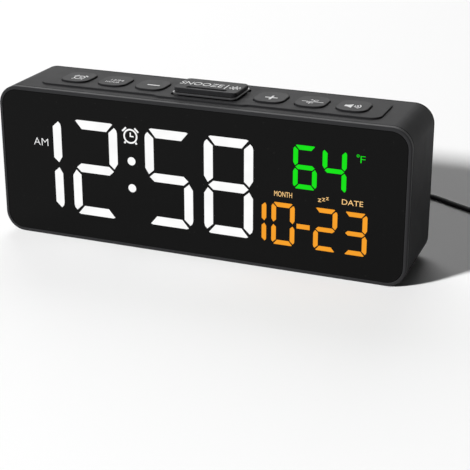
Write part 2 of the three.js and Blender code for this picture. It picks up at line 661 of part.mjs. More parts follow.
function legendCells() {
  const { width, lefts, colonX } = timeLayout();
  const right = CASE_WIDTH / 2;
  const morningX = lefts[0] + width / 2 + MORNING_LEGEND.pastMiddle;
  const betweenModules = MODULES.fromUnder + moduleHeight() + MODULES.gap / 2;
  const fromTop = (legend, x) => ({ ...legend, x, z: CASE_HEIGHT - legend.fromTop });
  const underDegrees = (legend) => ({ ...legend, x: right - legend.fromRight, z: betweenModules });
  return [
    fromTop(MORNING_LEGEND, morningX),
    fromTop(ALARM_LEGEND, colonX),
    fromTop(UNIT_LEGEND, right - UNIT_LEGEND.fromRight),
    ...[MONTH_LEGEND, SLEEP_LEGEND, DATE_LEGEND].map(underDegrees),
  ];
}

function lightCells() {
  const { width, height, lefts, colonX } = timeLayout();
  const size = 2 * COLON.radius;
  const levels = [TIME.fromUnder + COLON.fromUnder, TIME.fromUnder + height - COLON.fromTop];
  const dots = levels.map((z) => ({ x: colonX, z, width: size, height: size }));
  return [...lefts.flatMap((left) => digitCells(left, width, height)), ...legendCells(), ...dots];
}

// Box of a place on the display, between two depths
function displayBox({ x, z, width, height }, margin, front, back) {
  const halfX = width / 2 + margin;
  const halfZ = height / 2 + margin;
  return block(x - halfX, x + halfX, front, back, z + BOTTOM - halfZ, z + BOTTOM + halfZ);
}

function addDisplay() {
  const half = CASE_WIDTH / 2 - STACK_FROM_SIDE;
  const low = BOTTOM + STACK_FROM_EDGE;
  const high = TOP - STACK_FROM_EDGE;
  const sheet = (front, thick) => block(-half, half, front, front + thick, low, high);
  addPiece('legend_film', sheet(STACK_FRONT, FILM_THICK), 'dark');
  addPiece('diffuser_sheet', sheet(DIFFUSER_FRONT, DIFFUSER_THICK), 'white');

  const cells = lightCells();
  const reflectorBack = REFLECTOR_FRONT + REFLECTOR_DEPTH;
  const through = [REFLECTOR_FRONT - OVER, reflectorBack + OVER];
  const openings = [
    ...cells.map((cell) => displayBox(cell, 0, ...through)),
    ...modulePlaces().map((place) => displayBox(place, MODULE_MARGIN + FIT, ...through)),
  ];
  addPiece('light_reflector', cut(sheet(REFLECTOR_FRONT, REFLECTOR_DEPTH), ...openings), 'white');
  for (const place of modulePlaces()) {
    addPiece(place.name, displayBox(place, MODULE_MARGIN, REFLECTOR_FRONT, LED_BOARD_FRONT - SEAT), 'dark');
  }

  const boardHalf = CASE_WIDTH / 2 - LED_BOARD_FROM_SIDE;
  const board = block(-boardHalf, boardHalf, LED_BOARD_FRONT, LED_BOARD_BACK,
    BOTTOM + LED_BOARD_FROM_EDGE, TOP - LED_BOARD_FROM_EDGE);
  const lamps = cells.map(({ x, z }) => displayBox({ x, z, ...LAMP }, 0, LED_BOARD_FRONT - LAMP_PROUD,
    LED_BOARD_FRONT + SINK));
  const holes = ledPosts().map(([x, z]) => rodAlongY(PIN_RADIUS + FIT, LED_BOARD_FRONT - OVER,
    LED_BOARD_BACK + OVER, x, z, 8));
  addPiece('led_board', cut(join(board, ...lamps), ...holes), 'board');
}

// Rear cover with its lip, posts, sound slots, socket opening and battery opening
function coverPostEnd() {
  return COVER_INSIDE - COVER_LIP_DEPTH;
}

function headSeat() {
  return BACK - COVER_SCREW.headHigh - COVER_SCREW.sunk;
}

function mainPosts() {
  const x = MAIN_BOARD_LENGTH / 2 - MAIN_POST_FROM_EDGE;
  const low = MAIN_BOARD_LOW + MAIN_POST_FROM_EDGE;
  const high = MAIN_BOARD_HIGH - MAIN_POST_FROM_EDGE;
  return [[-x, low], [-x, high], [x, low], [x, high]];
}

function batteryOpening() {
  const through = [COVER_INSIDE - OVER, BACK + OVER];
  const disc = rodAlongY(CAP_RADIUS + FIT, ...through, 0, 0, 28);
  const reach = CAP_RADIUS + LUG_REACH + FIT;
  const notch = block(-reach, reach, ...through, -LUG_WIDTH / 2 - FIT, LUG_WIDTH / 2 + FIT);
  const turned = notch.rotateY(-CAP_TURN * Math.PI / 180);
  return join(disc, turned).translate(BATTERY_X, 0, BATTERY_Z);
}

function socketOpening() {
  const width = SOCKET_INNER_WIDTH + 2 * (SOCKET_WALL + FIT);
  const height = SOCKET_INNER_HEIGHT + 2 * (SOCKET_WALL + FIT);
  const opening = slabLoft(width, height, height / 2, 5, [[0, COVER_INSIDE - OVER], [0, BACK + OVER]]);
  return opening.translate(SOCKET_X, 0, SOCKET_Z);
}

function addRearCover() {
  const lipOuter = CASE_WALL + FIT;
  const plate = caseLoft([
    ...quarterRound(COVER_ROUND, BACK - COVER_ROUND, 4).reverse(),
    [0, BACK - COVER_SIDE],
    [lipOuter, BACK - COVER_SIDE],
    [lipOuter, BACK - COVER_SIDE - COVER_LIP_DEPTH],
    [lipOuter + COVER_LIP_WALL, BACK - COVER_SIDE - COVER_LIP_DEPTH],
    [lipOuter + COVER_LIP_WALL, COVER_INSIDE],
  ], false);
  const posts = coverPosts().map(([x, z]) => rodAlongY(COVER_POST_RADIUS, coverPostEnd(),
    COVER_INSIDE + OVER, x, z));
  const boardPosts = mainPosts().flatMap(([x, z]) => pinnedPost(COVER_INSIDE + OVER,
    COVER_INSIDE - MAIN_POST_HEIGHT, x, z));
  const cuts = [batteryOpening(), socketOpening()];
  for (const [x, z] of coverPosts()) {
    cuts.push(rodAlongY(COVER_SCREW.shaft + FIT, coverPostEnd() - OVER, BACK + OVER, x, z));
    cuts.push(rodAlongY(COVER_SCREW.head + FIT, headSeat(), BACK + OVER, x, z, 16));
  }
  for (let index = 0; index < SLOT.count; index++) {
    const x = BUZZER.x + (index - (SLOT.count - 1) / 2) * SLOT.pitch;
    cuts.push(block(x - SLOT.width / 2, x + SLOT.width / 2, COVER_INSIDE - OVER, BACK + OVER,
      BUZZER_Z - SLOT.length / 2, BUZZER_Z + SLOT.length / 2));
  }
  addPiece('rear_cover', cut(join(plate, ...posts, ...boardPosts), ...cuts), 'case');
  coverPosts().forEach(([x, z], index) => {
    const screw = screwGeometry(COVER_SCREW).rotateX(-Math.PI / 2);
    addPiece(`cover_screw_${index + 1}`, screw.translate(x, headSeat() + SEAT, z), 'steel');
  });
}

// Battery cap, coin cell and holder
function addBattery() {
  const lugBack = COVER_INSIDE - FIT;
  const disc = rodAlongY(CAP_RADIUS, lugBack - LUG_THICK, BACK, 0, 0, 28);
  const reach = CAP_RADIUS + LUG_REACH;
  const lugs = block(-reach, reach, lugBack - LUG_THICK, lugBack, -LUG_WIDTH / 2, LUG_WIDTH / 2);
  const { length, width, deep } = COIN_SLOT;
  const slot = block(-length / 2, length / 2, BACK - deep, BACK + OVER, -width / 2, width / 2);
  addPiece('battery_cap', cut(join(disc, lugs), slot).translate(BATTERY_X, 0, BATTERY_Z), 'case');

  const cellBack = lugBack - LUG_THICK - FIT;
  const cellFront = cellBack - CELL_HEIGHT;
  const holderFront = MAIN_BOARD_BACK + SEAT;
  const along = (radius, front, back, sides) => rodAlongY(radius, front, back, BATTERY_X, BATTERY_Z, sides);
  const cup = along(CELL_RADIUS + FIT + HOLDER_WALL, holderFront, cellBack - HOLDER_LOW, 20);
  const bore = along(CELL_RADIUS + FIT, cellFront - SEAT, cellBack + OVER, 20);
  const hollow = along(CELL_RADIUS - HOLDER_STEP, holderFront + HOLDER_FLOOR, cellBack, 16);
  addPiece('cell_holder', cut(cup, bore, hollow), 'dark');
  addPiece('coin_cell', along(CELL_RADIUS, cellFront, cellBack, 20), 'steel');
}

// Main board, and the ribbons between the boards with the plugs on their ends
function ribbonStrip(y0, y1, z, rise) {
  const middle = Array.from({ length: RIBBON.steps + 1 }, (_, step) => {
    const share = step / RIBBON.steps;
    return [y0 + share * (y1 - y0), z + rise * Math.sin(Math.PI * share) ** 2];
  });
  const upper = middle.map(([y, lift]) => new THREE.Vector2(y, lift + RIBBON.thick / 2));
  const lower = middle.map(([y, lift]) => new THREE.Vector2(y, lift - RIBBON.thick / 2)).reverse();
  const strip = new THREE.ExtrudeGeometry(new THREE.Shape([...upper, ...lower]),
    { depth: RIBBON.width, bevelEnabled: false });
  return strip.rotateX(Math.PI / 2).rotateZ(Math.PI / 2).translate(-RIBBON.width / 2, 0, 0);
}

function ribbonPlug(y0, y1, z0, z1) {
  return block(-RIBBON_PLUG.width / 2, RIBBON_PLUG.width / 2, y0, y1, z0, z1);
}

function addMainBoard() {
  const half = MAIN_BOARD_LENGTH / 2;
  const board = block(-half, half, MAIN_BOARD_FRONT, MAIN_BOARD_BACK, MAIN_BOARD_LOW, MAIN_BOARD_HIGH);
  const chipZ = MAIN_BOARD_HIGH - CHIP.below;
  const chip = block(CHIP.x - CHIP.size / 2, CHIP.x + CHIP.size / 2, MAIN_BOARD_FRONT - CHIP.thick,
    MAIN_BOARD_FRONT + SINK, chipZ - CHIP.size / 2, chipZ + CHIP.size / 2);
  const holes = mainPosts().map(([x, z]) => rodAlongY(PIN_RADIUS + FIT, MAIN_BOARD_FRONT - OVER,
    MAIN_BOARD_BACK + OVER, x, z, 8));
  addPiece('main_board', cut(join(board, chip), ...holes), 'board');

  const { long, deep } = RIBBON_PLUG;
  const ledFace = LED_BOARD_BACK + SEAT;
  const mainFace = MAIN_BOARD_FRONT - SEAT;
  const z = DISPLAY_RIBBON_Z;
  addPiece('display_ribbon', join(
    ribbonStrip(ledFace + deep - SINK, mainFace - deep + SINK, z, RIBBON.rise),
    ribbonPlug(ledFace, ledFace + deep, z - long / 2, z + long / 2),
    ribbonPlug(mainFace - deep, mainFace, z - long / 2, z + long / 2),
  ), 'white');

  const keyFace = KEY_BOARD_TOP - BOARD_THICK - SEAT;
  const mid = mainFace - deep / 2;
  const strip = block(-RIBBON.width / 2, RIBBON.width / 2, mid - RIBBON.thick / 2, mid + RIBBON.thick / 2,
    KEY_RIBBON_Z, keyFace - SINK);
  addPiece('key_ribbon', join(
    strip,
    ribbonPlug(mainFace - deep, mainFace, KEY_RIBBON_Z - long / 2, KEY_RIBBON_Z + long / 2),
    ribbonPlug(mid - long / 2, mid + long / 2, keyFace - deep, keyFace),
  ), 'white');
}

function addBuzzerAndSensor() {
  const start = MAIN_BOARD_BACK + SEAT;
  const { x, radius, height, hole, holeDeep } = BUZZER;
  const can = rodAlongY(radius, start, start + height, x, BUZZER_Z, 16);
  const mouth = rodAlongY(hole, start + height - holeDeep, start + height + OVER, x, BUZZER_Z, 8);
  addPiece('buzzer', cut(can, mouth), 'dark');
  const sensorZ = MAIN_BOARD_HIGH - SENSOR.below;
  const bead = rodAlongY(SENSOR.radius, start, start + SENSOR.height, SENSOR.x, sensorZ);
  addPiece('temperature_sensor', bead, 'dark');
}

// Flat tube shapes of the socket and the plugs: [inset, distance] along a rounded section
function slabLoft(width, height, radius, steps, profile) {
  const rings = profile.map(([inset, reach]) => {
    const outline = roundedOutline(width - 2 * inset, height - 2 * inset, radius - inset, steps);
    return outline.map(([u, v]) => [u, reach, v]);
  });
  return loft(rings, false, roundedOutline(width, height, radius, steps));
}

function addSocket() {
  const mouth = BACK - SOCKET_MOUTH_SUNK;
  const start = MAIN_BOARD_BACK + SEAT;
  const width = SOCKET_INNER_WIDTH + 2 * SOCKET_WALL;
  const height = SOCKET_INNER_HEIGHT + 2 * SOCKET_WALL;
  const floor = mouth - NOSE.length - FIT;
  const outer = slabLoft(width, height, height / 2, 5, [[0, start], [0, mouth]]);
  const inner = slabLoft(SOCKET_INNER_WIDTH, SOCKET_INNER_HEIGHT, SOCKET_INNER_HEIGHT / 2, 5,
    [[0, floor], [0, mouth + OVER]]);
  const tongue = block(-TONGUE.width / 2, TONGUE.width / 2, floor - SINK, floor + TONGUE.length,
    -TONGUE.thick / 2, TONGUE.thick / 2);
  addPiece('power_socket', join(cut(outer, inner), tongue).translate(SOCKET_X, 0, SOCKET_Z), 'steel');
}

// Plug in the socket: hollow metal nose, moulded grip and strain relief, pointing back along +Y
function nearPlugEnds() {
  const noseTip = BACK - SOCKET_MOUTH_SUNK - NOSE.length;
  const gripStart = BACK + FIT;
  const reliefEnd = gripStart + GRIP_C.length + RELIEF.length;
  return { noseTip, gripStart, reliefEnd };
}

function gripProfile(length, round) {
  const far = quarterRound(round, length - round, 2);
  const near = far.map(([inset, reach]) => [inset, length - reach]).reverse();
  return [...near, ...far];
}

// Ribbed strain relief from the grip's end, sunk a little into it
function reliefAfter(gripLength) {
  const step = RELIEF.length / RELIEF.ribs;
  const profile = [[0, -OVER]];
  for (let rib = 0; rib < RELIEF.ribs; rib++) {
    const radius = RELIEF.wide + (RELIEF.narrow - RELIEF.wide) * rib / (RELIEF.ribs - 1);
    const neck = radius - RELIEF.neck;
    const start = rib === 0 ? -OVER : rib * step;
    const end = (rib + RELIEF.ribShare) * step;
    profile.push([radius, start], [radius, end], [neck, end], [neck, (rib + 1) * step]);
  }
  profile.push([0, RELIEF.length]);
  const turned = new THREE.LatheGeometry(profile.map(([r, y]) => new THREE.Vector2(r, y)), 10);
  return turned.translate(0, gripLength, 0);
}

function addNearPlug() {
  const { noseTip, gripStart } = nearPlugEnds();
  const { width, height, wall, floor } = NOSE;
  const noseOuter = slabLoft(width, height, height / 2, 5, [[0, noseTip], [0, gripStart - SEAT]]);
  const noseInner = slabLoft(width - 2 * wall, height - 2 * wall, height / 2 - wall, 5,
    [[0, noseTip - OVER], [0, gripStart - floor]]);
  addPiece('near_plug_nose', cut(noseOuter, noseInner).translate(SOCKET_X, 0, SOCKET_Z), 'steel');
  const grip = slabLoft(GRIP_C.width, GRIP_C.height, GRIP_C.height / 2, 4,
    gripProfile(GRIP_C.length, GRIP_C.round));
  addPiece('near_plug_grip', join(grip, reliefAfter(GRIP_C.length)).translate(SOCKET_X, gripStart, SOCKET_Z),
    'cord');
}

// Coil: the cord spirals in and out in layers and climbs in the half turn where the spiral reverses
function coilPoint(turn) {
  const layer = Math.min(Math.floor(turn / (COIL_TURNS + HALF_TURN)), COIL_LAYERS - 1);
  const within = turn - layer * (COIL_TURNS + HALF_TURN);
  const along = Math.min(within, COIL_TURNS);
  const climb = Math.max(within - COIL_TURNS, 0) / HALF_TURN;
  const outer = COIL_MEAN + COIL_TURNS * COIL_STEP / 2;
  const inner = COIL_MEAN - COIL_TURNS * COIL_STEP / 2;
  const radius = layer % 2 === 0 ? outer - along * COIL_STEP : inner + along * COIL_STEP;
  const angle = (COIL_START - 360 * turn) * Math.PI / 180;
  const z = coilRest() + (layer + climb) * COIL_STEP;
  return new THREE.Vector3(COIL_X + radius * Math.cos(angle), COIL_Y + radius * Math.sin(angle), z);
}

function coilRest() {
  return TIE_THICK + FIT + CORD_DIAMETER / 2;
}

function coilTotalTurns() {
  return COIL_LAYERS * COIL_TURNS + (COIL_LAYERS - 1) * HALF_TURN;
}

function circlePoints(radius, sides) {
  return Array.from({ length: sides }, (_, corner) => {
    const angle = (corner / sides) * 2 * Math.PI;
    return [radius * Math.cos(angle), radius * Math.sin(angle)];
  });
}

function tubeAlong(points, radius, sides) {
  const section = circlePoints(radius, sides);
  const rings = points.map((point, index) => {
    const before = points[Math.max(index - 1, 0)];
    const after = points[Math.min(index + 1, points.length - 1)];
    const along = after.clone().sub(before).normalize();
    const side = new THREE.Vector3().crossVectors(along, new THREE.Vector3(0, 0, 1)).normalize();
    const up = new THREE.Vector3().crossVectors(side, along);
    return section.map(([u, v]) => point.clone().addScaledVector(side, u).addScaledVector(up, v).toArray());
  });
  return loft(rings, false, section);
}

// Level direction of the winding between two turns close together
function windingDirection(from, to) {
  return coilPoint(to).sub(coilPoint(from)).setZ(0).normalize();
}

function coilDirections() {
  const total = coilTotalTurns();
  const little = 0.002;
  return { first: windingDirection(0, little), last: windingDirection(total - little, total) };
}

function leastGap(points, loopSteps, diameter) {
  let least = Infinity;
  for (let i = 0; i < points.length; i++) {
    for (let j = i + Math.round(loopSteps / 2); j < points.length; j++) {
      least = Math.min(least, points[i].distanceTo(points[j]));
    }
  }
  return least - diameter;
}

function addCoil() {
  const total = coilTotalTurns();
  const count = Math.round(total * COIL_LOOP_STEPS);
  const winding = Array.from({ length: count + 1 }, (_, step) => coilPoint(step / count * total));
  const { first, last } = coilDirections();
  const start = winding[0].clone().addScaledVector(first, -CORD_DIAMETER);
  const end = winding[count].clone().addScaledVector(last, CORD_DIAMETER);
  const path = [start, ...winding, end];
  addPiece('cord_coil', tubeAlong(path, CORD_DIAMETER / 2, COIL_SIDES), 'cord');
  const length = path.slice(1).reduce((sum, point, i) => sum + point.distanceTo(path[i]), 0);
  const gap = leastGap(path, COIL_LOOP_STEPS, CORD_DIAMETER);
  console.log(`cord_coil: least gap ${gap.toFixed(2)} mm, length ${length.toFixed(0)} mm`);
  return { start, end };
}

function addTie() {
  const spread = COIL_TURNS * COIL_STEP / 2 + CORD_DIAMETER / 2 + FIT + TIE_THICK;
  const high = coilRest() + (COIL_LAYERS - 1) * COIL_STEP + CORD_DIAMETER / 2 + FIT + TIE_THICK;
  const half = TIE_WIDTH / 2;
  const profile = [[0, -half], [0, half], [TIE_THICK, half], [TIE_THICK, -half]];
  const rings = profile.map(([inset, across]) => {
    const outline = roundedOutline(2 * (spread - inset), high - 2 * inset, TIE_CORNER - inset, 4);
    return outline.map(([u, v]) => [COIL_MEAN + u, across, high / 2 + v]);
  });
  const tie = loft(rings, true).rotateZ(TIE_ANGLE * Math.PI / 180);
  addPiece('cord_tie', tie.translate(COIL_X, COIL_Y, 0), 'rubber');
}

// Far plug, lying on the same surface beside the coil and pointing along -Y
function addFarPlug() {
  const grip = slabLoft(GRIP_A.width, GRIP_A.height, GRIP_A.corner, 3,
    gripProfile(GRIP_A.length, GRIP_A.round));
  const gripAndRelief = join(grip, reliefAfter(GRIP_A.length));
  addPiece('far_plug_grip', gripAndRelief.translate(FAR_PLUG_X, FAR_PLUG_Y, farPlugZ()), 'cord');
  const { width, height, wall, length, floor, corner, insertThick, insertShort } = SHELL_A;
  const place = (geometry) => geometry.rotateZ(Math.PI).translate(FAR_PLUG_X, FAR_PLUG_Y - SEAT, farPlugZ());
  const outer = slabLoft(width, height, corner, 2, [[0, 0], [0, length]]);
  const inner = slabLoft(width - 2 * wall, height - 2 * wall, corner - wall, 2,
    [[0, floor], [0, length + OVER]]);
  addPiece('far_plug_shell', place(cut(outer, inner)), 'steel');
  const half = width / 2 - wall - SEAT;
  const low = wall - height / 2 + SEAT;
  addPiece('far_plug_insert', place(block(-half, half, floor + SEAT, length - insertShort, low,
    low + insertThick)), 'white');
}

function farPlugZ() {
  return GRIP_A.height / 2 + REST_GAP;
}

// Lead: straight out of the strain relief, down to the surface and round to the coil.
// Its points are chosen by hand.
function leadPoints(coilStart) {
  const { reliefEnd } = nearPlugEnds();
  return toVectors([
    [SOCKET_X, reliefEnd + FIT, SOCKET_Z],
    [SOCKET_X, reliefEnd + FIT + STRAIGHT, SOCKET_Z],
    [50.4, 55.8, 16.4],
    [51.8, 62.1, 14.2],
    [54.4, 68.4, 10.4],
    [57.6, 75.6, 6.6],
    [61.6, 82.2, 3.4],
    [66.8, 87.1, 1.6],
    [72.8, 89.7, LEAD_REST],
    [79.2, 89.1, LEAD_REST],
    [85.2, 86.1, LEAD_REST],
    [91.0, 82.6, LEAD_REST],
    [97.4, 79.2, LEAD_REST],
    [103.8, 75.6, LEAD_REST],
    [110.2, 71.6, LEAD_REST],
    [116.6, 67.6, LEAD_REST],
    [123.0, 63.6, 1.4],
    [128.6, 60.7, 1.75],
  ]).concat(coilEnds(coilStart, -1));
}

function toVectors(points) {
  return points.map((point) => new THREE.Vector3(...point));
}

function tailPoints(coilEnd) {
  const plugEnd = FAR_PLUG_Y + GRIP_A.length + RELIEF.length + FIT;
  return coilEnds(coilEnd, 1).concat(toVectors([
    [139.6, 58.3, 10.9],
    [147.2, 54.6, 10.4],
    [153.0, 48.0, 8.6],
    [156.8, 40.4, 6.2],
    [158.6, 34.4, 4.4],
    [FAR_PLUG_X, plugEnd + STRAIGHT, farPlugZ()],
    [FAR_PLUG_X, plugEnd, farPlugZ()],
  ]));
}

// The last straight step of a stretch before the coil, or the first after it
function coilEnds(point, sign) {
  const { first, last } = coilDirections();
  const direction = sign < 0 ? first : last;
  const near = point.clone().addScaledVector(direction, sign * FIT);
  const far = point.clone().addScaledVector(direction, sign * (FIT + STRAIGHT));
  return sign < 0 ? [far, near] : [near, far];
}

function stretch(name, points, steps) {
  const curve = new THREE.CatmullRomCurve3(points, false, 'centripetal');
  const corners = circlePoints(CORD_DIAMETER / 2, CORD_SIDES).map(([u, v]) => new THREE.Vector2(u, v));
  addPiece(name, new THREE.ExtrudeGeometry(new THREE.Shape(corners), { steps, extrudePath: curve }), 'cord');
  console.log(`${name}: length ${curve.getLength().toFixed(0)} mm`);
}

function addFeet() {
  footPlaces().forEach(([x, y], index) => {
    addPiece(`foot_${index + 1}`, rodAlongZ(FOOT_RADIUS, 0, FOOT_THICK, x, y, 16), 'rubber');
  });
}

addFrame();
addWindow();
addHousing();
addPanel();
addKeys();
addSnoozeBar();
addSwitches();
addKeyBoard();
addDisplay();
addRearCover();
addBattery();
addMainBoard();
addBuzzerAndSensor();
addSocket();
addFeet();
addNearPlug();
const coil = addCoil();
addTie();
addFarPlug();
stretch('cord_lead', leadPoints(coil.start), 30);
stretch('cord_tail', tailPoints(coil.end), 10);

export default clock;
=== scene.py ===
# Digital alarm clock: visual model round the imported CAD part. Blender 4.5, metres, +X right, +Y back, +Z up.

import math

import bmesh
import bpy
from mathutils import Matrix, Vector


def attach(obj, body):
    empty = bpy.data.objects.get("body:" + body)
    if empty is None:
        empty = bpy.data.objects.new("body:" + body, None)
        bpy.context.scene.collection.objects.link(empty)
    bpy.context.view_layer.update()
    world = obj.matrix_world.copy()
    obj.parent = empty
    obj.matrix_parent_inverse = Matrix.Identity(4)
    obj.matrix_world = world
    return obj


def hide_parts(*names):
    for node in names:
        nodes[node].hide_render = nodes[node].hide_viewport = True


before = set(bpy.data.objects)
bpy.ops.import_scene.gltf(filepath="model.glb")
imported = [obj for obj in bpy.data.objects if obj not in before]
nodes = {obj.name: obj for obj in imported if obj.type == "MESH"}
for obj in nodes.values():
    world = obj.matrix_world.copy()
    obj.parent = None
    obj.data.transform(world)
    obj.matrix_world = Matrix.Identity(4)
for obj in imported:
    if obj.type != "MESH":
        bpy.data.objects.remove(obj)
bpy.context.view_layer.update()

MM = 0.001


# Camera: stands in front of the clock, off to its right, and looks down on it through a long lens, as a
# product photographer would. Its place and turn were found from the corners of the case.
LENS = 95.68
FILM_WIDTH = 36
EYE = (0.196907, -0.476799, 0.212430)
DOWN_DEGREES = 19.943
TURN_DEGREES = 21.318
SHIFT_UP = -0.1
NEAREST = 0.02


def add_object(name, data):
    """A new object in the scene that shows the given data."""
    thing = bpy.data.objects.new(name, data)
    bpy.context.scene.collection.objects.link(thing)
    return thing


camera = add_object("camera", bpy.data.cameras.new("camera"))
camera.data.lens = LENS
camera.data.sensor_width = FILM_WIDTH
camera.data.shift_y = SHIFT_UP
camera.data.clip_start = NEAREST
camera.location = EYE
camera.rotation_euler = (math.radians(90 - DOWN_DEGREES), 0, math.radians(TURN_DEGREES))
bpy.context.scene.camera = camera
bpy.context.scene.view_settings.view_transform = "Standard"


# Power cord: a thin round cord in black PVC. It leaves the plug's strain relief, drops to the table, runs
# forward past the clock's end and is wound into a flat coil of four layers with a tie round it.
CORD_DIAMETER = 2.2
CORD_EXIT = (50, 48.3, 17)
LEAD_ROUTE = [
    CORD_EXIT, (50, 51, 17), (50.4, 55.8, 16.4), (51.8, 62.1, 14.2), (54.4, 68.4, 10.4), (57.6, 75.6, 6.6),
    (61.6, 82.2, 3.4), (66.8, 87.1, 1.6), (72.8, 89.7, 1.15), (79.2, 89.1, 1.15), (85.2, 86.1, 1.15),
    (91, 82.6, 1.15), (97.4, 79.2, 1.15), (103.8, 75.6, 1.15), (110.2, 71.6, 1.15), (116.6, 67.6, 1.15),
    (123, 63.6, 1.4), (128.6, 60.7, 1.75),
]
TAIL_ROUTE = [
    (139.6, 58.3, 10.9), (147.2, 54.6, 10.4), (153, 48, 8.6), (156.8, 40.4, 6.2), (158.6, 34.4, 4.4),
    (159, 30.7, 3.85), (159, 27.8, 3.85),
]
COIL_CENTRE = (130, 42)
COIL_MEAN = 13.2
COIL_STEP = 3.0
COIL_LAYERS = 4
COIL_TURNS = 2.1
HALF_TURN = 0.5
COIL_START = 64.6
COIL_LOW = 1.9
COIL_JOIN = 3
POINTS_PER_TURN = 36
BEND_STEPS = 3


def coil_point(turn):
    """Point of the coil after so many turns: each layer spirals in or out, then climbs in half a turn."""
    layer = min(int(turn / (COIL_TURNS + HALF_TURN)), COIL_LAYERS - 1)
    within = turn - layer * (COIL_TURNS + HALF_TURN)
    along = min(within, COIL_TURNS)
    climb = max(within - COIL_TURNS, 0) / HALF_TURN
    swing = COIL_TURNS * COIL_STEP / 2
    radius = COIL_MEAN + (swing - along * COIL_STEP) * (1 if layer % 2 == 0 else -1)
    angle = math.radians(COIL_START - 360 * turn)
    u, v = radius * math.cos(angle), radius * math.sin(angle)
    return Vector((COIL_CENTRE[0] + u, COIL_CENTRE[1] + v, COIL_LOW + COIL_STEP * (layer + climb)))


def smooth_route(points, steps):
    """Points on one smooth line through all the given ones."""
    route = []
    for index in range(len(points) - 1):
        before = points[max(index - 1, 0)]
        start, end = points[index], points[index + 1]
        after = points[min(index + 2, len(points) - 1)]
        for step in range(steps):
            t = step / steps
            route.append(0.5 * (2 * start + (end - before) * t
                         + (2 * before - 5 * start + 4 * end - after) * t ** 2
                         + (3 * start - before - 3 * end + after) * t ** 3))
    return route + [points[-1]]


coil_turns = COIL_LAYERS * COIL_TURNS + (COIL_LAYERS - 1) * HALF_TURN
coil_count = round(coil_turns * POINTS_PER_TURN)
coil_route = [coil_point(coil_turns * step / coil_count) for step in range(coil_count + 1)]
coil_in = (coil_route[1] - coil_route[0]).normalized() * COIL_JOIN
coil_out = (coil_route[-1] - coil_route[-2]).normalized() * COIL_JOIN
lead = smooth_route([*map(Vector, LEAD_ROUTE), coil_route[0] - coil_in], BEND_STEPS)
tail = smooth_route([coil_route[-1] + coil_out, *map(Vector, TAIL_ROUTE)], BEND_STEPS)
cord_route = [point * MM for point in lead + coil_route + tail]

cord_line = bpy.data.curves.new("power_cord", "CURVE")
cord_line.dimensions = "3D"
cord_line.bevel_depth = CORD_DIAMETER / 2 * MM
cord_line.bevel_resolution = 4
cord_line.use_fill_caps = True
spline = cord_line.splines.new("POLY")
spline.points.add(len(cord_route) - 1)
for place, point in zip(spline.points, cord_route):
    place.co = (*point, 1)
cord = add_object("power_cord", cord_line)

NUMBER = "NodeSocketFloat"
COLOUR = "NodeSocketColor"


def shade(level):
    """Linear value of a grey that reads as this level of 255 on a screen."""
    share = level / 255
    return share / 12.92 if share < 0.04045 else ((share + 0.055) / 1.055) ** 2.4


def tint(red, green, blue):
    return (shade(red), shade(green), shade(blue))


def fill(tree, node, inputs):
    """Gives a shader node its inputs: a value is written in, and what another node puts out is linked."""
    for label, value in inputs.items():
        if isinstance(value, bpy.types.NodeSocket):
            tree.links.new(value, node.inputs[label])
        else:
            node.inputs[label].default_value = value


def add_node(tree, kind, inputs, **settings):
    """A new shader node with its settings and inputs."""
    node = tree.nodes.new(f"ShaderNode{kind}")
    for label, value in settings.items():
        setattr(node, label, value)
    fill(tree, node, inputs)
    return node


def object_place(tree):
    return add_node(tree, "TexCoord", {}).outputs["Object"]


def noise(tree, place, scale, detail, distortion=0):
    return add_node(tree, "TexNoise", {
        "Vector": place, "Scale": scale, "Detail": detail, "Distortion": distortion}).outputs["Fac"]


def calculate(tree, operation, first, second, clamped=False):
    return add_node(tree, "Math", {0: first, 1: second}, operation=operation, use_clamp=clamped).outputs[0]


def ranged(tree, value, low, high, to_low=0, to_high=1):
    """A value carried over from one range to another, and kept within that."""
    ends = {"Value": value, "From Min": low, "From Max": high, "To Min": to_low, "To Max": to_high}
    return add_node(tree, "MapRange", ends).outputs["Result"]


def scaled(tree, colour, level):
    return add_node(tree, "VectorMath", {0: colour, "Scale": level}, operation="SCALE").outputs["Vector"]


def blended(tree, share, first, second):
    """The first colour, going over to the second by a share."""
    mix = add_node(tree, "Mix", {"Factor": share, "A": first, "B": second}, data_type="RGBA")
    return mix.outputs["Result"]


def new_material(name, base, roughness, metallic=0.0, specular=0.5):
    """A material, and its main shader for the section to build on."""
    material = bpy.data.materials.new(name)
    material.use_nodes = True
    shader = material.node_tree.nodes["Principled BSDF"]
    fill(material.node_tree, shader, {"Base Color": (*base, 1), "Roughness": roughness, "Metallic": metallic,
                                      "Specular IOR Level": specular})
    return material, shader


def new_group(name, numbers, colours, outputs):
    """An empty shader group with named inputs and outputs; gives it, its inputs' values and its way out."""
    group = bpy.data.node_groups.new(name, "ShaderNodeTree")
    for label, value in numbers.items():
        group.interface.new_socket(label, in_out="INPUT", socket_type=NUMBER).default_value = value
    for label in colours:
        group.interface.new_socket(label, in_out="INPUT", socket_type=COLOUR)
    for label, kind in outputs.items():
        group.interface.new_socket(label, in_out="OUTPUT", socket_type=kind)
    return group, group.nodes.new("NodeGroupInput").outputs, group.nodes.new("NodeGroupOutput")


# The scales count features in a metre, and the corners' reach is in metres.
DRIFT_SCALE = 45
SPECK_SCALE = 420
SPECK_EDGE = (0.05, 0.11)
CELLS_WITHOUT = 0.8  # share of the cells that hold no speck
SMEAR_SCALE = 60
GRAIN_STRENGTH = 0.35
DUST_COLOUR = (*tint(150, 148, 144), 1)
CORNER_REACH = 0.0006


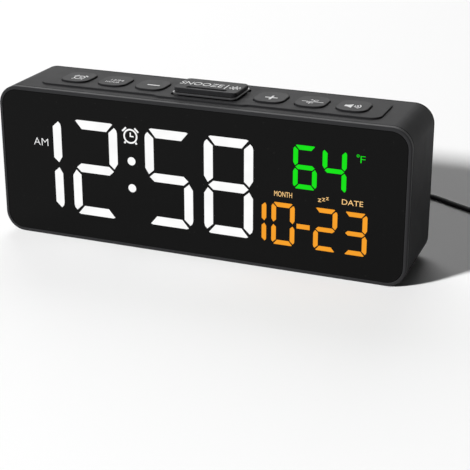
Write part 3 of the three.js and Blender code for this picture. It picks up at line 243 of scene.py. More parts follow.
def build_moulded_surface():
    """Moulded plastic: a fine spark-eroded grain, drifts of tone, dust specks and faint finger marks."""
    group, given, way_out = new_group(
        "moulded_surface",
        {"Grain Size": 2500, "Tone Drift": 0.1, "Dust": 0.1, "Roughness": 0.5, "Marks": 0.1},
        ["Colour"],
        {"Colour": COLOUR, "Roughness": NUMBER, "Height": NUMBER})
    place = object_place(group)
    darkest = calculate(group, "SUBTRACT", 1, given["Tone Drift"])
    lightest = calculate(group, "ADD", 1, given["Tone Drift"])
    drift = ranged(group, noise(group, place, DRIFT_SCALE, 5), 0.3, 0.7, darkest, lightest)

    specks = add_node(group, "TexVoronoi", {"Vector": place, "Scale": SPECK_SCALE})
    chance = add_node(group, "SeparateColor", {"Color": specks.outputs["Color"]}).outputs["Red"]
    few = calculate(group, "GREATER_THAN", chance, CELLS_WITHOUT)
    near = ranged(group, specks.outputs["Distance"], *SPECK_EDGE, 1, 0)
    dust = calculate(group, "MULTIPLY", calculate(group, "MULTIPLY", near, few), given["Dust"])

    smears = calculate(group, "SUBTRACT", noise(group, place, SMEAR_SCALE, 4, distortion=1.5), 0.5)
    marks = calculate(group, "MULTIPLY", smears, given["Marks"])
    fill(group, way_out, {
        "Colour": blended(group, dust, scaled(group, given["Colour"], drift), DUST_COLOUR),
        "Roughness": calculate(group, "ADD", marks, given["Roughness"]),
        "Height": noise(group, place, given["Grain Size"], 3)})
    return group


def build_painted_edge_highlights():
    """Mask for a painted highlight along outer edges: 1 there, and 0 on flat parts and in inner corners."""
    # Painted highlight: this mask lightens the colour along convex edges, where light would catch.
    group, given, way_out = new_group("painted_edge_highlights", {"Reach": 0.00035, "Gain": 4.0}, [], {"Mask": NUMBER})
    rounded = add_node(group, "Bevel", {"Radius": given["Reach"]}, samples=6).outputs["Normal"]
    plain = add_node(group, "NewGeometry", {}).outputs["Normal"]
    along = add_node(group, "VectorMath", {0: rounded, 1: plain}, operation="DOT_PRODUCT").outputs["Value"]
    bent = calculate(group, "SUBTRACT", 1, along)
    edge = calculate(group, "MULTIPLY", bent, given["Gain"], clamped=True)
    openness = add_node(group, "AmbientOcclusion", {"Distance": CORNER_REACH}, samples=4, only_local=True)
    outer = ranged(group, openness.outputs["AO"], 0.75, 0.95)
    fill(group, way_out, {"Mask": calculate(group, "MULTIPLY", edge, outer)})
    return group


moulded_surface = build_moulded_surface()
painted_edge_highlights = build_painted_edge_highlights()


def moulded_plastic(name, colour, roughness, grain, depth, specular=0.5, drift=0.1, dust=0.1, marks=0.1,
                    edge_highlight=None):
    """Plastic or rubber with the moulded surface. Outer edges go over to a lighter colour, a painted
    highlight, if one is given.
    """
    material, shader = new_material(name, colour, roughness, specular=specular)
    tree = material.node_tree
    surface = add_node(tree, "Group", {
        "Grain Size": grain, "Tone Drift": drift, "Dust": dust, "Roughness": roughness, "Marks": marks,
        "Colour": (*colour, 1)}, node_tree=moulded_surface).outputs
    tone = surface["Colour"]
    # Painted highlight: outer edges are lightened in the base colour.
    if edge_highlight:
        edges = add_node(tree, "Group", {}, node_tree=painted_edge_highlights).outputs["Mask"]
        tone = blended(tree, edges, tone, (*edge_highlight, 1))
    bump = add_node(tree, "Bump", {
        "Strength": GRAIN_STRENGTH, "Distance": depth * MM, "Height": surface["Height"]})
    fill(tree, shader, {
        "Base Color": tone, "Roughness": surface["Roughness"], "Normal": bump.outputs["Normal"]})
    return material


cord_line.materials.append(
    moulded_plastic("cord_pvc", tint(7, 7, 8), 0.5, grain=1800, depth=0.02, specular=0.12, dust=0.03))


# Plugs on the cord: each a metal shell with a moulded grip over it, and a ribbed strain relief that lets
# the cord bend. The near one is pushed into the clock, and the far one lies beside the coil.
SMALLEST_CORNER = 0.01
TIP_RADIUS = 0.002
SHARP_DEGREES = 32
SOCKET_X = 50
SOCKET_Z = 17
NEAR_GRIP_START = 20.3
# A size is the width, height and corner radius of a rounded rectangle.
NEAR_GRIP = {"size": (12, 6.4, 3.2), "length": 19, "round": 1.2}
FAR_GRIP = {"size": (15.6, 7.6, 2.2), "length": 22, "round": 1.4}
FAR_PLUG_X = 159
FAR_PLUG_Y = -3
FAR_PLUG_Z = 3.85
RELIEF = {"length": 9, "wide": 2.4, "narrow": 1.8, "ribs": 4, "share": 0.62, "neck": 0.35, "round": 0.2}
RELIEF_SIDES = 28
SHELL = {"size": (12, 4.5, 0.6), "wall": 0.35, "mouth": -12.1, "back": -0.1, "floor": 1}
SHELL_WINDOW = {"from_middle": 2.6, "width": 2.2, "length": 2.6, "from_mouth": 4.2}
PAST = 1  # how far a cutter goes on past the face that it opens


def rounded_outline(width, height, corner, steps, inset=0):
    """Rounded rectangle round the origin, its sides moved in, anticlockwise, as (u, v) pairs."""
    half_u, half_v = width / 2 - inset, height / 2 - inset
    radius = max(min(corner - inset, half_u - SMALLEST_CORNER, half_v - SMALLEST_CORNER), SMALLEST_CORNER)
    outline = []
    for quarter in range(4):
        side_u = 1 if quarter in (0, 3) else -1
        side_v = 1 if quarter < 2 else -1
        for step in range(steps + 1):
            angle = (quarter + step / steps) * math.pi / 2
            outline.append((side_u * (half_u - radius) + radius * math.cos(angle),
                            side_v * (half_v - radius) + radius * math.sin(angle)))
    return outline


def circle(x, y, radius, sides):
    angles = [side / sides * 2 * math.pi for side in range(sides)]
    return [(x + radius * math.cos(angle), y + radius * math.sin(angle)) for angle in angles]


def quarter_round(radius, low, steps=5):
    """From [0, low] up to [radius, low + radius], as (inset, height) pairs."""
    angles = [step / steps * math.pi / 2 for step in range(steps + 1)]
    return [(radius * (1 - math.cos(angle)), low + radius * math.sin(angle)) for angle in angles]


def ring_faces(rings, closed=False):
    """Points and faces of a skin through rings of equally many points; an open one has a face on each end."""
    count = len(rings[0])
    points = [point for ring in rings for point in ring]
    faces = []
    for index in range(len(rings) if closed else len(rings) - 1):
        low = index * count
        high = (index + 1) % len(rings) * count
        for i in range(count):
            j = (i + 1) % count
            faces.append((low + i, low + j, high + j, high + i))
    if not closed:
        faces.append(tuple(range(count - 1, -1, -1)))
        faces.append(tuple(range(len(points) - count, len(points))))
    return points, faces


def make_piece(name, *shells):
    """A mesh piece from shells of points in millimetres and their faces, faced outwards."""
    points, faces = [], []
    for shell_points, shell_faces in shells:
        faces += [tuple(len(points) + i for i in face) for face in shell_faces]
        points += [Vector(point) * MM for point in shell_points]
    mesh = bpy.data.meshes.new(name)
    mesh.from_pydata(points, [], faces)
    shape = bmesh.new()
    shape.from_mesh(mesh)
    bmesh.ops.recalc_face_normals(shape, faces=shape.faces)
    shape.to_mesh(mesh)
    shape.free()
    return add_object(name, mesh)


def evaluated_mesh(thing):
    return bpy.data.meshes.new_from_object(thing.evaluated_get(bpy.context.evaluated_depsgraph_get()))


def carve(piece, *shells, operation="DIFFERENCE"):
    """Cuts each shell out of the piece, or joins it on."""
    cutters = [make_piece("cutter", shell) for shell in shells]
    for cutter in cutters:
        step = piece.modifiers.new("cut", "BOOLEAN")
        step.operation = operation
        step.object = cutter
        step.solver = "EXACT"
    result = evaluated_mesh(piece)
    piece.modifiers.clear()
    piece.data = result
    for cutter in cutters:
        bpy.data.objects.remove(cutter)


def finish_piece(piece, material, body, slot, *replaced):
    """Smooth shading with crisp edges, the material, and what the piece rides on and stands for."""
    for face in piece.data.polygons:
        face.use_smooth = True
    piece.data.set_sharp_from_angle(angle=math.radians(SHARP_DEGREES))
    weighted = piece.modifiers.new("even_shading", "WEIGHTED_NORMAL")
    weighted.keep_sharp = True
    piece.data.materials.clear()
    piece.data.materials.append(material)
    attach(piece, body)
    if replaced:
        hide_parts(*replaced)


def dress(name, material):
    """Gives a CAD node, which keeps its shape, its material."""
    nodes[name].data.materials.clear()
    nodes[name].data.materials.append(material)


def placed(outline, distance, centre, axis):
    """Ring of points: an outline of (u, v) pairs at a distance from the centre, along the y or the z axis."""
    x, y, z = centre
    if axis == "y":
        return [(x + u, y + distance, z + v) for u, v in outline]
    return [(x + u, y + v, z + distance) for u, v in outline]


def turned(profile, sides, centre=(0, 0, 0), axis="y", closed=False):
    """Shell of a profile of (radius, distance) pairs turned round an axis through the centre."""
    return ring_faces([placed(circle(0, 0, max(radius, TIP_RADIUS), sides), distance, centre, axis)
                       for radius, distance in profile], closed)


def block(size, centre, path, steps=8, axis="y"):
    """Block with a rounded outline of this size, through (inset, distance) pairs along an axis."""
    return ring_faces([placed(rounded_outline(*size, steps, inset), distance, centre, axis)
                       for inset, distance in path])


def wider(size, gap):
    """A size with its sides moved out."""
    width, height, corner = size
    return width + 2 * gap, height + 2 * gap, corner + gap


def grip_shell(grip, centre):
    """Moulded grip, rounded at both ends."""
    far = quarter_round(grip["round"], grip["length"] - grip["round"])
    near = [(inset, grip["length"] - reach) for inset, reach in reversed(far)]
    return block(grip["size"], centre, near + far)


def relief_shell(start, centre):
    """Tapered strain relief: ribs with soft edges on a thinner core."""
    step = RELIEF["length"] / RELIEF["ribs"]
    soft = RELIEF["round"]
    profile = [(0, -PAST)]
    for rib in range(RELIEF["ribs"]):
        radius = RELIEF["wide"] + (RELIEF["narrow"] - RELIEF["wide"]) * rib / (RELIEF["ribs"] - 1)
        neck = radius - RELIEF["neck"]
        first = -PAST if rib == 0 else rib * step
        last = (rib + RELIEF["share"]) * step
        profile += [(radius - soft, first), (radius, first + soft), (radius, last - soft),
                    (radius - soft, last), (neck, last), (neck, (rib + 1) * step)]
    profile.append((0, RELIEF["length"]))
    return turned([(radius, start + reach) for radius, reach in profile], RELIEF_SIDES, centre)


def box_shell(x0, x1, y0, y1, z0, z1):
    return ring_faces([[(x0, y0, z), (x1, y0, z), (x1, y1, z), (x0, y1, z)] for z in (z0, z1)])


grip_pvc = moulded_plastic("grip_pvc", tint(27, 27, 28), 0.45, grain=2600, depth=0.03, dust=0.08)
near_centre = (SOCKET_X, NEAR_GRIP_START, SOCKET_Z)
near_grip = make_piece("near_plug_moulding", grip_shell(NEAR_GRIP, near_centre),
                       relief_shell(NEAR_GRIP["length"], near_centre))
finish_piece(near_grip, grip_pvc, "clock", "cord_plastic", "near_plug_grip")
far_centre = (FAR_PLUG_X, FAR_PLUG_Y, FAR_PLUG_Z)
far_grip = make_piece("far_plug_moulding", grip_shell(FAR_GRIP, far_centre),
                      relief_shell(FAR_GRIP["length"], far_centre))
finish_piece(far_grip, grip_pvc, "clock", "cord_plastic", "far_plug_grip")

far_shell = make_piece("far_plug_metal_shell", block(
    SHELL["size"], far_centre, [(0, SHELL["mouth"]), (0, SHELL["back"])], steps=6))
shell_holes = [block(wider(SHELL["size"], -SHELL["wall"]), far_centre,
                     [(0, SHELL["mouth"] - PAST), (0, SHELL["back"] - SHELL["floor"])], steps=6)]
for side in (-1, 1):
    middle = FAR_PLUG_X + side * SHELL_WINDOW["from_middle"]
    near = FAR_PLUG_Y + SHELL["mouth"] + SHELL_WINDOW["from_mouth"]
    shell_holes.append(box_shell(
        middle - SHELL_WINDOW["width"] / 2, middle + SHELL_WINDOW["width"] / 2,
        near, near + SHELL_WINDOW["length"], FAR_PLUG_Z - SHELL["size"][1], FAR_PLUG_Z + SHELL["size"][1]))
carve(far_shell, *shell_holes)


ROLLED_LINES = 900


def plated_metal(name, colour, roughness, streak):
    """Plated sheet steel: bright, with fine rolling lines along one direction and a slightly uneven gloss."""
    material, shader = new_material(name, colour, roughness, metallic=1.0)
    tree = material.node_tree
    stretched = add_node(tree, "Mapping", {"Vector": object_place(tree), "Scale": streak}).outputs["Vector"]
    lines = noise(tree, stretched, ROLLED_LINES, 3)
    fill(tree, shader, {
        "Base Color": scaled(tree, colour, ranged(tree, lines, 0.3, 0.7, 0.9, 1.05)),
        "Roughness": ranged(tree, lines, 0, 1, roughness - 0.08, roughness + 0.1)})
    return material


shell_steel = plated_metal("shell_steel", tint(205, 206, 208), 0.3, (1, 0.05, 1))
finish_piece(far_shell, shell_steel, "clock", "plated_steel", "far_plug_shell")
dress("near_plug_nose", shell_steel)
dress("far_plug_insert",
      moulded_plastic("insert_nylon", tint(225, 225, 222), 0.45, grain=1500, depth=0.01, dust=0.02))


# Cord tie: a soft black strip, bent once round the coil's bundle of turns and pinched to its ends. With it
# the cord is whole, so here the cord is set to ride on the clock and the CAD cord is hidden.
TIE = {"size": (10.1, 12.8, 1.2), "thick": 0.5, "width": 4, "degrees": 250}
tie_turn = math.radians(TIE["degrees"])
tie_rings = []
for inset, across in ((0, -1), (0, 1), (TIE["thick"], 1), (TIE["thick"], -1)):
    ring = []
    for u, v in rounded_outline(*TIE["size"], 8, inset):
        reach = COIL_MEAN + u
        aside = across * TIE["width"] / 2
        ring.append((COIL_CENTRE[0] + reach * math.cos(tie_turn) - aside * math.sin(tie_turn),
                     COIL_CENTRE[1] + reach * math.sin(tie_turn) + aside * math.cos(tie_turn),
                     TIE["size"][1] / 2 + v))
    tie_rings.append(ring)
tie = make_piece("cord_tie_strip", ring_faces(tie_rings, closed=True))
tie_rubber = moulded_plastic("tie_rubber", tint(22, 22, 22), 0.8, grain=1200, depth=0.05, specular=0.3)
finish_piece(tie, tie_rubber, "clock", "cord_plastic", "cord_tie")

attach(cord, "clock")
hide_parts("cord_lead", "cord_coil", "cord_tail")


# Housing: one sleeve moulded in matt black plastic that forms the clock's top, sides and underside. It is
# pocketed for the key strip and the feet. Posts inside it take the cover's screws, and pins that are melted
# to heads hold the key board.
CASE = (186, 67.8, 8.8)
CASE_WALL = 2.2
CASE_STEPS = 20
TOP = 68.2
MIDDLE = 34.3
HOUSING_FRONT = -17.0
HOUSING_BACK = 17.6
REBATE = -14.7
TONGUE_WALL = 1.0
EDGE_BREAK = 0.15
PANEL = (154.6, 24.6, 5)
PANEL_LOW = 67.3
POCKET_GAP = 0.05
POCKET_LOW = 67.2
COLLAR = {"bulge": 1.2, "half": 18.6, "run": 3.4, "steps": 12}
OPENING_BREAK = 0.12
ROW_Y = 0
SLOT = (143, 19.2, 5)
SLOT_LOW = 65
FOOT_X = 73
FOOT_Y = 10
FOOT_POCKET = [(4.8, -0.6), (4.8, 1.2)]
FOOT_SIDES = 48
POST_SIDES = 32
POST_X = 84
POST_RISE = 24.9
POST_RADIUS = 3
POST_BORE = 1.6
HOUSING_POST = {"end": 15.4, "length": 21, "bore": 12}
WEB = {"thick": 1.5, "end": 12.9, "inward": 2.5}
PIN = {"radius": 1, "length": 1.8, "head": 1.8, "head_high": 0.6}
KEY_POST = {"x": 74.2, "seat": 59.5, "radius": 2.3}


def case_rings(profile):
    """Rings of (inset from the case's outline, y) pairs carried round the case."""
    return [placed(rounded_outline(*CASE, CASE_STEPS, inset), y, (0, 0, MIDDLE), "y") for inset, y in profile]


def panel_outline(grow):
    """The strip's outline, which swells forward and back round the snooze bar."""
    half = PANEL[1] / 2 + grow
    corners = rounded_outline(*PANEL, 10, -grow)
    swell = []
    for step in range(COLLAR["steps"] + 1):
        share = step / COLLAR["steps"]
        rise = COLLAR["bulge"] * (1 - math.cos(math.pi * share)) / 2
        swell.append((COLLAR["half"] + COLLAR["run"] * (1 - share), half + rise))
    back = swell + [(-x, y) for x, y in reversed(swell)]
    front = [(-x, -y) for x, y in back]
    quarter = len(corners) // 4
    return corners[:quarter] + back + corners[quarter:3 * quarter] + front + corners[3 * quarter:]


def panel_shell(grow, levels):
    return ring_faces([[(x, y, z) for x, y in panel_outline(grow - inset)] for inset, z in levels])


def pad(x, y, size, levels, steps=10):
    """Rounded pad round (x, y), through levels of (inset, z) pairs."""
    return block(size, (x, y, 0), levels, steps, "z")


def opening(start, face, edge=OPENING_BREAK):
    """Path of a cutter that opens a face and breaks the edge of the opening, as (inset, distance) pairs."""
    return [(0, start), (0, face - edge), (-edge, face), (-edge, face + PAST)]


def at_screws():
    """Places of the cover's four screws as (x, side, z), where the side is -1 below and 1 above."""
    return [(x, side, MIDDLE + side * POST_RISE) for x in (-POST_X, POST_X) for side in (-1, 1)]


def pin_profile(end, radius, seat, away):
    """Post up to a board's seat, and a pin through the board with a melted head; away is 1 or -1."""
    pin_end = seat + away * PIN["length"]
    return [(radius, end), (radius, seat), (PIN["radius"], seat), (PIN["radius"], pin_end),
            (PIN["head"], pin_end), (PIN["head"], pin_end + away * PIN["head_high"])]


housing = make_piece("housing_sleeve", ring_faces(case_rings([
    (EDGE_BREAK, HOUSING_FRONT), (0, HOUSING_FRONT + EDGE_BREAK), (0, HOUSING_BACK - EDGE_BREAK),
    (EDGE_BREAK, HOUSING_BACK), (CASE_WALL, HOUSING_BACK), (CASE_WALL, REBATE), (TONGUE_WALL, REBATE),
    (TONGUE_WALL, HOUSING_FRONT)]), closed=True))
foot_places = [(x, y) for y in (-FOOT_Y, FOOT_Y) for x in (-FOOT_X, FOOT_X)]
carve(housing,
      panel_shell(POCKET_GAP, opening(POCKET_LOW, TOP)),
      pad(0, ROW_Y, SLOT, [(0, SLOT_LOW), (0, PANEL_LOW + PAST)]),
      *[turned(FOOT_POCKET, FOOT_SIDES, (x, y, 0), axis="z") for x, y in foot_places])

post_shells = []
post_start = HOUSING_POST["end"] - HOUSING_POST["length"]
for x, side, z in at_screws():
    wall = MIDDLE + side * (CASE[1] - CASE_WALL) / 2
    inward = z + side * WEB["inward"]
    post_shells.append(turned([
        (POST_RADIUS, post_start), (POST_RADIUS, HOUSING_POST["end"]), (POST_BORE, HOUSING_POST["end"]),
        (POST_BORE, HOUSING_POST["end"] - HOUSING_POST["bore"])], POST_SIDES, (x, 0, z)))
    post_shells.append(box_shell(x - WEB["thick"] / 2, x + WEB["thick"] / 2, post_start, WEB["end"],
                                 min(wall, inward), max(wall, inward)))
for x in (-KEY_POST["x"], KEY_POST["x"]):
    post_shells.append(turned(pin_profile(TOP - CASE_WALL / 2, KEY_POST["radius"], KEY_POST["seat"], -1),
                              POST_SIDES, (x, 0, 0), axis="z"))
posts = make_piece("housing_posts", *post_shells)
# Painted highlight: the case's outer edges are lightened in its colour.
case_plastic = moulded_plastic("case_plastic", tint(28, 28, 29), 0.58, grain=2200, depth=0.04, specular=0.06,
                               drift=0.06, dust=0.05, edge_highlight=tint(60, 60, 61))
finish_piece(housing, case_plastic, "clock", "case_plastic", "housing_shell")
finish_piece(posts, case_plastic, "clock", "case_plastic")


# Front frame: a thin rim moulded in the same black plastic, rounded over at its edge, that holds the window.
# Its tongue slides into the housing, with a fine dark seam round the case. Pins hold the display's board.
RIM_FRONT = -20
RIM_WIDTH = 1.5
RIM_ROUND = 0.7
RIM_BACK = -17.4
TONGUE_INSET = 1.3
LEDGE_FRONT = -18.5
LEDGE_BACK = -15
LEDGE_INNER = 3.9
LED_POST = {"x": 78.5, "rise": 28.1, "seat": -10.8, "radius": 2.5}
rim_round = [(inset, RIM_FRONT + RIM_ROUND - rise) for inset, rise in quarter_round(RIM_ROUND, 0, 8)]
front_rim = make_piece("front_rim", ring_faces(case_rings(
    [(RIM_WIDTH, RIM_FRONT + EDGE_BREAK), (RIM_WIDTH - EDGE_BREAK, RIM_FRONT), *reversed(rim_round),
     (0, RIM_BACK - EDGE_BREAK), (EDGE_BREAK, RIM_BACK), (TONGUE_INSET, RIM_BACK), (TONGUE_INSET, LEDGE_BACK),
     (LEDGE_INNER, LEDGE_BACK), (LEDGE_INNER, LEDGE_FRONT), (RIM_WIDTH, LEDGE_FRONT)]), closed=True))
led_pin = pin_profile(LEDGE_BACK - PAST, LED_POST["radius"], LED_POST["seat"], 1)
led_posts = make_piece("front_frame_posts", *[
    turned(led_pin, POST_SIDES, (x, 0, MIDDLE + rise))
    for x in (-LED_POST["x"], LED_POST["x"]) for rise in (-LED_POST["rise"], LED_POST["rise"])])
# Painted highlight: the rim's outer edges are lightened in its colour.
rim_plastic = moulded_plastic("rim_plastic", tint(30, 30, 31), 0.52, grain=2200, depth=0.03, specular=0.11,
                              drift=0.06, dust=0.04, edge_highlight=tint(50, 50, 51))
finish_piece(front_rim, rim_plastic, "clock", "case_plastic", "front_frame")
finish_piece(led_posts, rim_plastic, "clock", "case_plastic")


# Display window: a thin plate of smoked acrylic glued flush in the frame. It looks all black, and only the
# lit parts of the display show through it.
WINDOW_FACE = -19.8
WINDOW_BACK = -18.6
WINDOW_INSET = 1.6
window = make_piece("window_plate", ring_faces(case_rings(
    [(WINDOW_INSET + EDGE_BREAK, WINDOW_FACE), (WINDOW_INSET, WINDOW_FACE + EDGE_BREAK),
     (WINDOW_INSET, WINDOW_BACK)])))
window_acrylic = moulded_plastic("window_acrylic", tint(8, 8, 8), 0.1, grain=150, depth=0.002, specular=0.06,
                                 drift=0.02, dust=0.03, marks=0.05)
finish_piece(window, window_acrylic, "clock", "window_acrylic", "display_window")


# Lit display: diodes behind the window light each bar of the digits, white for the time, green for the
# degrees and orange for the date. The bars stand on the window's face here, as thin as a film.
LIT_THICK = 0.04
LIT_SUNK = 0.01
LIT_DEPTHS = (WINDOW_FACE - LIT_THICK, WINDOW_FACE + LIT_SUNK)
DISPLAY_LEVEL = 0.65
# Lit bars of each digit: a is the top one, b and c are at the right, d at the bottom, e and f at the left.
BARS_OF = {
    "0": "abcdef", "1": "bc", "2": "abged", "3": "abgcd", "4": "fgbc", "5": "afgcd", "6": "afgedc",
    "8": "abcdefg",
}
TIME = {"height": 43.5, "width": 22, "bar": 4.0, "bottom": 12, "gap": 0.26}
TIME_PLACES = [("1", -84.8), ("2", -57.7), ("5", -22.6), ("8", 4.6)]
COLON = {"x": -29.1, "levels": (27.4, 39.7), "radius": 1.85, "sides": 40}
DEGREES = {"height": 18.8, "width": 10.15, "bar": 2.0, "bottom": 37.2, "gap": 0.1}
DEGREE_PLACES = [("6", 44), ("4", 56.45)]
DATE = {"height": 18.75, "width": 10.15, "bar": 2.0, "bottom": 11.3, "gap": 0.1}
DATE_PLACES = [("1", 22.4), ("0", 34.85), ("2", 53.2), ("3", 65.85)]
GLOW_SCALE = 160
DASH = [(45.9, 19.6), (51.6, 19.6), (51.6, 21.7), (45.9, 21.7)]


def bar_outline(which, width, height, bar):
    """Corners of one of a digit's seven bars, from the digit's lower left corner, drawn in bar widths."""
    half = height / 2
    level = [(0.46, 0.1), (0.68, 0), (-0.68, 0), (-0.46, 0.1), (-1.21, 1), (1.21, 1)]
    upright = [(0.33, 0.38), (0.08, 0.64), (0, 0.98), (0, -0.9), (0.42, -0.23), (1, -0.75), (1, 1)]
    middle = [(0.44, 0), (0.98, -0.49), (-0.98, -0.49), (-0.44, 0), (-0.98, 0.49), (0.98, 0.49)]
    if which == "g":
        return [(u * bar if u > 0 else width + u * bar, half + v * bar) for u, v in middle]
    if which in "ad":
        corners = [(u * bar if u > 0 else width + u * bar, height - v * bar) for u, v in level]
    else:
        corners = [(width - u * bar, height - v * bar if v > 0 else half - v * bar) for u, v in upright]
    if which in "dce":
        corners = [(u, height - v) for u, v in corners]
    if which in "ef":
        corners = [(width - u, v) for u, v in corners]
    return corners


def shortened(outline, axis, gap):
    """An outline with its two ends moved in by the gap along an axis."""
    middle = sum(corner[axis] for corner in outline) / len(outline)
    moved = []
    for corner in outline:
        place = list(corner)
        place[axis] -= math.copysign(gap, corner[axis] - middle)
        moved.append(tuple(place))
    return moved


def lit_plate(outline):
    """Thin plate on the window's face, from an outline of (x, height above the display's level)."""
    return ring_faces([placed(outline, y, (0, 0, DISPLAY_LEVEL), "y") for y in LIT_DEPTHS])


def digit_plates(places, size):
    plates = []
    for digit, left in places:
        for which in BARS_OF[digit]:
            outline = bar_outline(which, size["width"], size["height"], size["bar"])
            outline = shortened(outline, 0 if which in "adg" else 1, size["gap"])
            plates.append(lit_plate([(left + u, size["bottom"] + v) for u, v in outline]))
    return plates


def lit_material(name, colour):
    """Light through the diffuser: even over a bar, with a soft drop where it lies further from its diode."""
    material, shader = new_material(name, tint(8, 8, 8), 0.6, specular=0.0)
    tree = material.node_tree
    drop = ranged(tree, noise(tree, object_place(tree), GLOW_SCALE, 1), 0.35, 0.65, 0.95, 1.0)
    fill(tree, shader, {"Emission Color": scaled(tree, colour, drop), "Emission Strength": 1.0})
    return material


lit_white = lit_material("lit_white", tint(255, 255, 255))
lit_green = lit_material("lit_green", tint(16, 230, 20))
lit_orange = lit_material("lit_orange", tint(250, 162, 40))
colon = [lit_plate(circle(COLON["x"], z, COLON["radius"], COLON["sides"])) for z in COLON["levels"]]
for name, plates, glow in [
        ("time_digits", digit_plates(TIME_PLACES, TIME) + colon, lit_white),
        ("degree_digits", digit_plates(DEGREE_PLACES, DEGREES), lit_green),
        ("date_digits", [*digit_plates(DATE_PLACES, DATE), lit_plate(DASH)], lit_orange)]:
    finish_piece(make_piece(name, *plates), glow, "clock", "diffuser_white")


# Small signs of the display: letters and an alarm clock cut into the film behind the window and lit from
# behind, the letters in a plain sans-serif.
DEGREE_RING = {"x": 71.15, "z": 54.3, "outer": 0.6, "inner": 0.34}
BELL_X = -29.3
BELL_Z = 50.9
BELL = {"outer": 3.3, "inner": 2.6, "back": 0.3, "ahead": 0.25, "up": 1.7, "across": 1.5,
        "bells": ((3.75, 2.0), (2.0, 3.75), 0.75), "feet": ((2.35, -2.55), (2.85, -3.35), 0.8)}


def letters(name, text, size, width, thinner=0):
    """Flat letters as a mesh round the origin in the XY plane, in metres, no thicker than a film."""
    line = bpy.data.curves.new(name, "FONT")
    line.body = text
    line.size = size * MM
    line.align_x = "CENTER"
    line.align_y = "CENTER"
    line.extrude = LIT_THICK / 2 * MM
    line.offset = -thinner * MM
    line.resolution_u = 4
    holder = add_object(name, line)
    mesh = evaluated_mesh(holder)
    bpy.data.objects.remove(holder)
    lows = [min(v.co[i] for v in mesh.vertices) for i in range(2)]
    highs = [max(v.co[i] for v in mesh.vertices) for i in range(2)]
    stretch = width * MM / (highs[0] - lows[0])
    for vertex in mesh.vertices:
        vertex.co.x = (vertex.co.x - (lows[0] + highs[0]) / 2) * stretch
        vertex.co.y -= (lows[1] + highs[1]) / 2
    return add_object(name, mesh)


def bar_between(start, end, width):
    """Outline of a straight bar between two points."""
    (x0, z0), (x1, z1) = start, end
    length = math.hypot(x1 - x0, z1 - z0)
    aside_x = -(z1 - z0) / length * width / 2
    aside_z = (x1 - x0) / length * width / 2
    return [(x0 + aside_x, z0 + aside_z), (x1 + aside_x, z1 + aside_z), (x1 - aside_x, z1 - aside_z),
            (x0 - aside_x, z0 - aside_z)]


def bell_outlines(x, y, size):
    """Outlines of an alarm clock sign, apart from its ring: the hands, the two bells and the two feet."""
    back, ahead = size["back"], size["ahead"]
    outlines = [[(x - back, y + size["up"]), (x + ahead, y + size["up"]), (x + ahead, y + ahead),
                 (x + size["across"], y + ahead), (x + size["across"], y - back), (x - back, y - back)]]
    for side in (-1, 1):
        for (u0, v0), (u1, v1), width in (size["bells"], size["feet"]):
            outlines.append(bar_between((x + side * u0, y + v0), (x + side * u1, y + v1), width))
    return outlines


def flat_ring(outer, inner, low, high):
    """Profile of a flat ring between two levels."""
    return [(outer, low), (outer, high), (inner, high), (inner, low)]


def lit_ring(x, z, outer, inner, sides=48):
    return turned(flat_ring(outer, inner, *LIT_DEPTHS), sides, (x, 0, z + DISPLAY_LEVEL), closed=True)


lit_label = lit_material("lit_label", tint(255, 208, 138))
for name, text, size, width, x, z, thinner, glow in [
        ("morning_letters", "AM", 5.1, 7.1, -73.05, 43.45, 0.09, lit_white),
        ("degree_letter", "F", 4.5, 2.0, 73.2, 52.9, 0.06, lit_green),
        ("month_letters", "MONTH", 3.3, 7.8, 39.85, 33.8, 0, lit_label),
        ("date_letters", "DATE", 3.3, 8.9, 69.5, 34.0, 0, lit_label),
        ("first_z", "z", 3.3, 1.5, 55.6, 33.35, 0, lit_label),
        ("second_z", "z", 3.0, 1.35, 57.3, 33.85, 0, lit_label),
        ("third_z", "z", 2.7, 1.2, 58.9, 34.45, 0, lit_label)]:
    sign = letters(name, text, size, width, thinner)
    for vertex in sign.data.vertices:
        u, v, w = vertex.co
        vertex.co = (x * MM + u, (WINDOW_FACE - LIT_THICK / 2) * MM - w, (z + DISPLAY_LEVEL) * MM + v)
    finish_piece(sign, glow, "clock", "diffuser_white")

alarm_sign = make_piece("alarm_sign", lit_ring(BELL_X, BELL_Z, BELL["outer"], BELL["inner"]),
                        *map(lit_plate, bell_outlines(BELL_X, BELL_Z, BELL)))
finish_piece(alarm_sign, lit_white, "clock", "diffuser_white")
degree_ring = make_piece("degree_ring", lit_ring(
    DEGREE_RING["x"], DEGREE_RING["z"], DEGREE_RING["outer"], DEGREE_RING["inner"], 32))
finish_piece(degree_ring, lit_green, "clock", "diffuser_white")


# Key strip: a raised strip moulded in black plastic and dropped into the housing's top, with an opening for
# each key and a shallow pocket for the snooze bar, round which it swells forward and back.
PANEL_TOP = TOP + 0.7
PANEL_ROUND = 0.3
KEY = (13.2, 15.4, 5)
KEY_FIT = 0.3
KEY_PLACES = {"volume": 63.3, "unit": 45.3, "plus": 27.3, "minus": -27.3, "format": -45.3, "alarm": -63.3}
BAR = (28.8, 16.8, 2.4)
BAR_SKIRT = 1.0
BAR_STEPS = 14
TIER = (29.4, 19.6, 2.7)
TIER_GAP = 0.7
TIER_POCKET = 0.9
panel = make_piece("key_strip", panel_shell(0, [
    (0, PANEL_LOW), *quarter_round(PANEL_ROUND, PANEL_TOP - PANEL_ROUND)]))
through_panel = opening(PANEL_LOW - PAST, PANEL_TOP)
carve(panel,
      *[pad(x, ROW_Y, wider(KEY, KEY_FIT), through_panel) for x in KEY_PLACES.values()],
      pad(0, ROW_Y, wider(TIER, TIER_GAP), opening(PANEL_TOP - TIER_POCKET, PANEL_TOP), BAR_STEPS),
      pad(0, ROW_Y, wider(BAR, KEY_FIT - BAR_SKIRT), [(0, PANEL_LOW - PAST), (0, PANEL_TOP)]))
finish_piece(panel, case_plastic, "clock", "case_plastic", "button_panel")


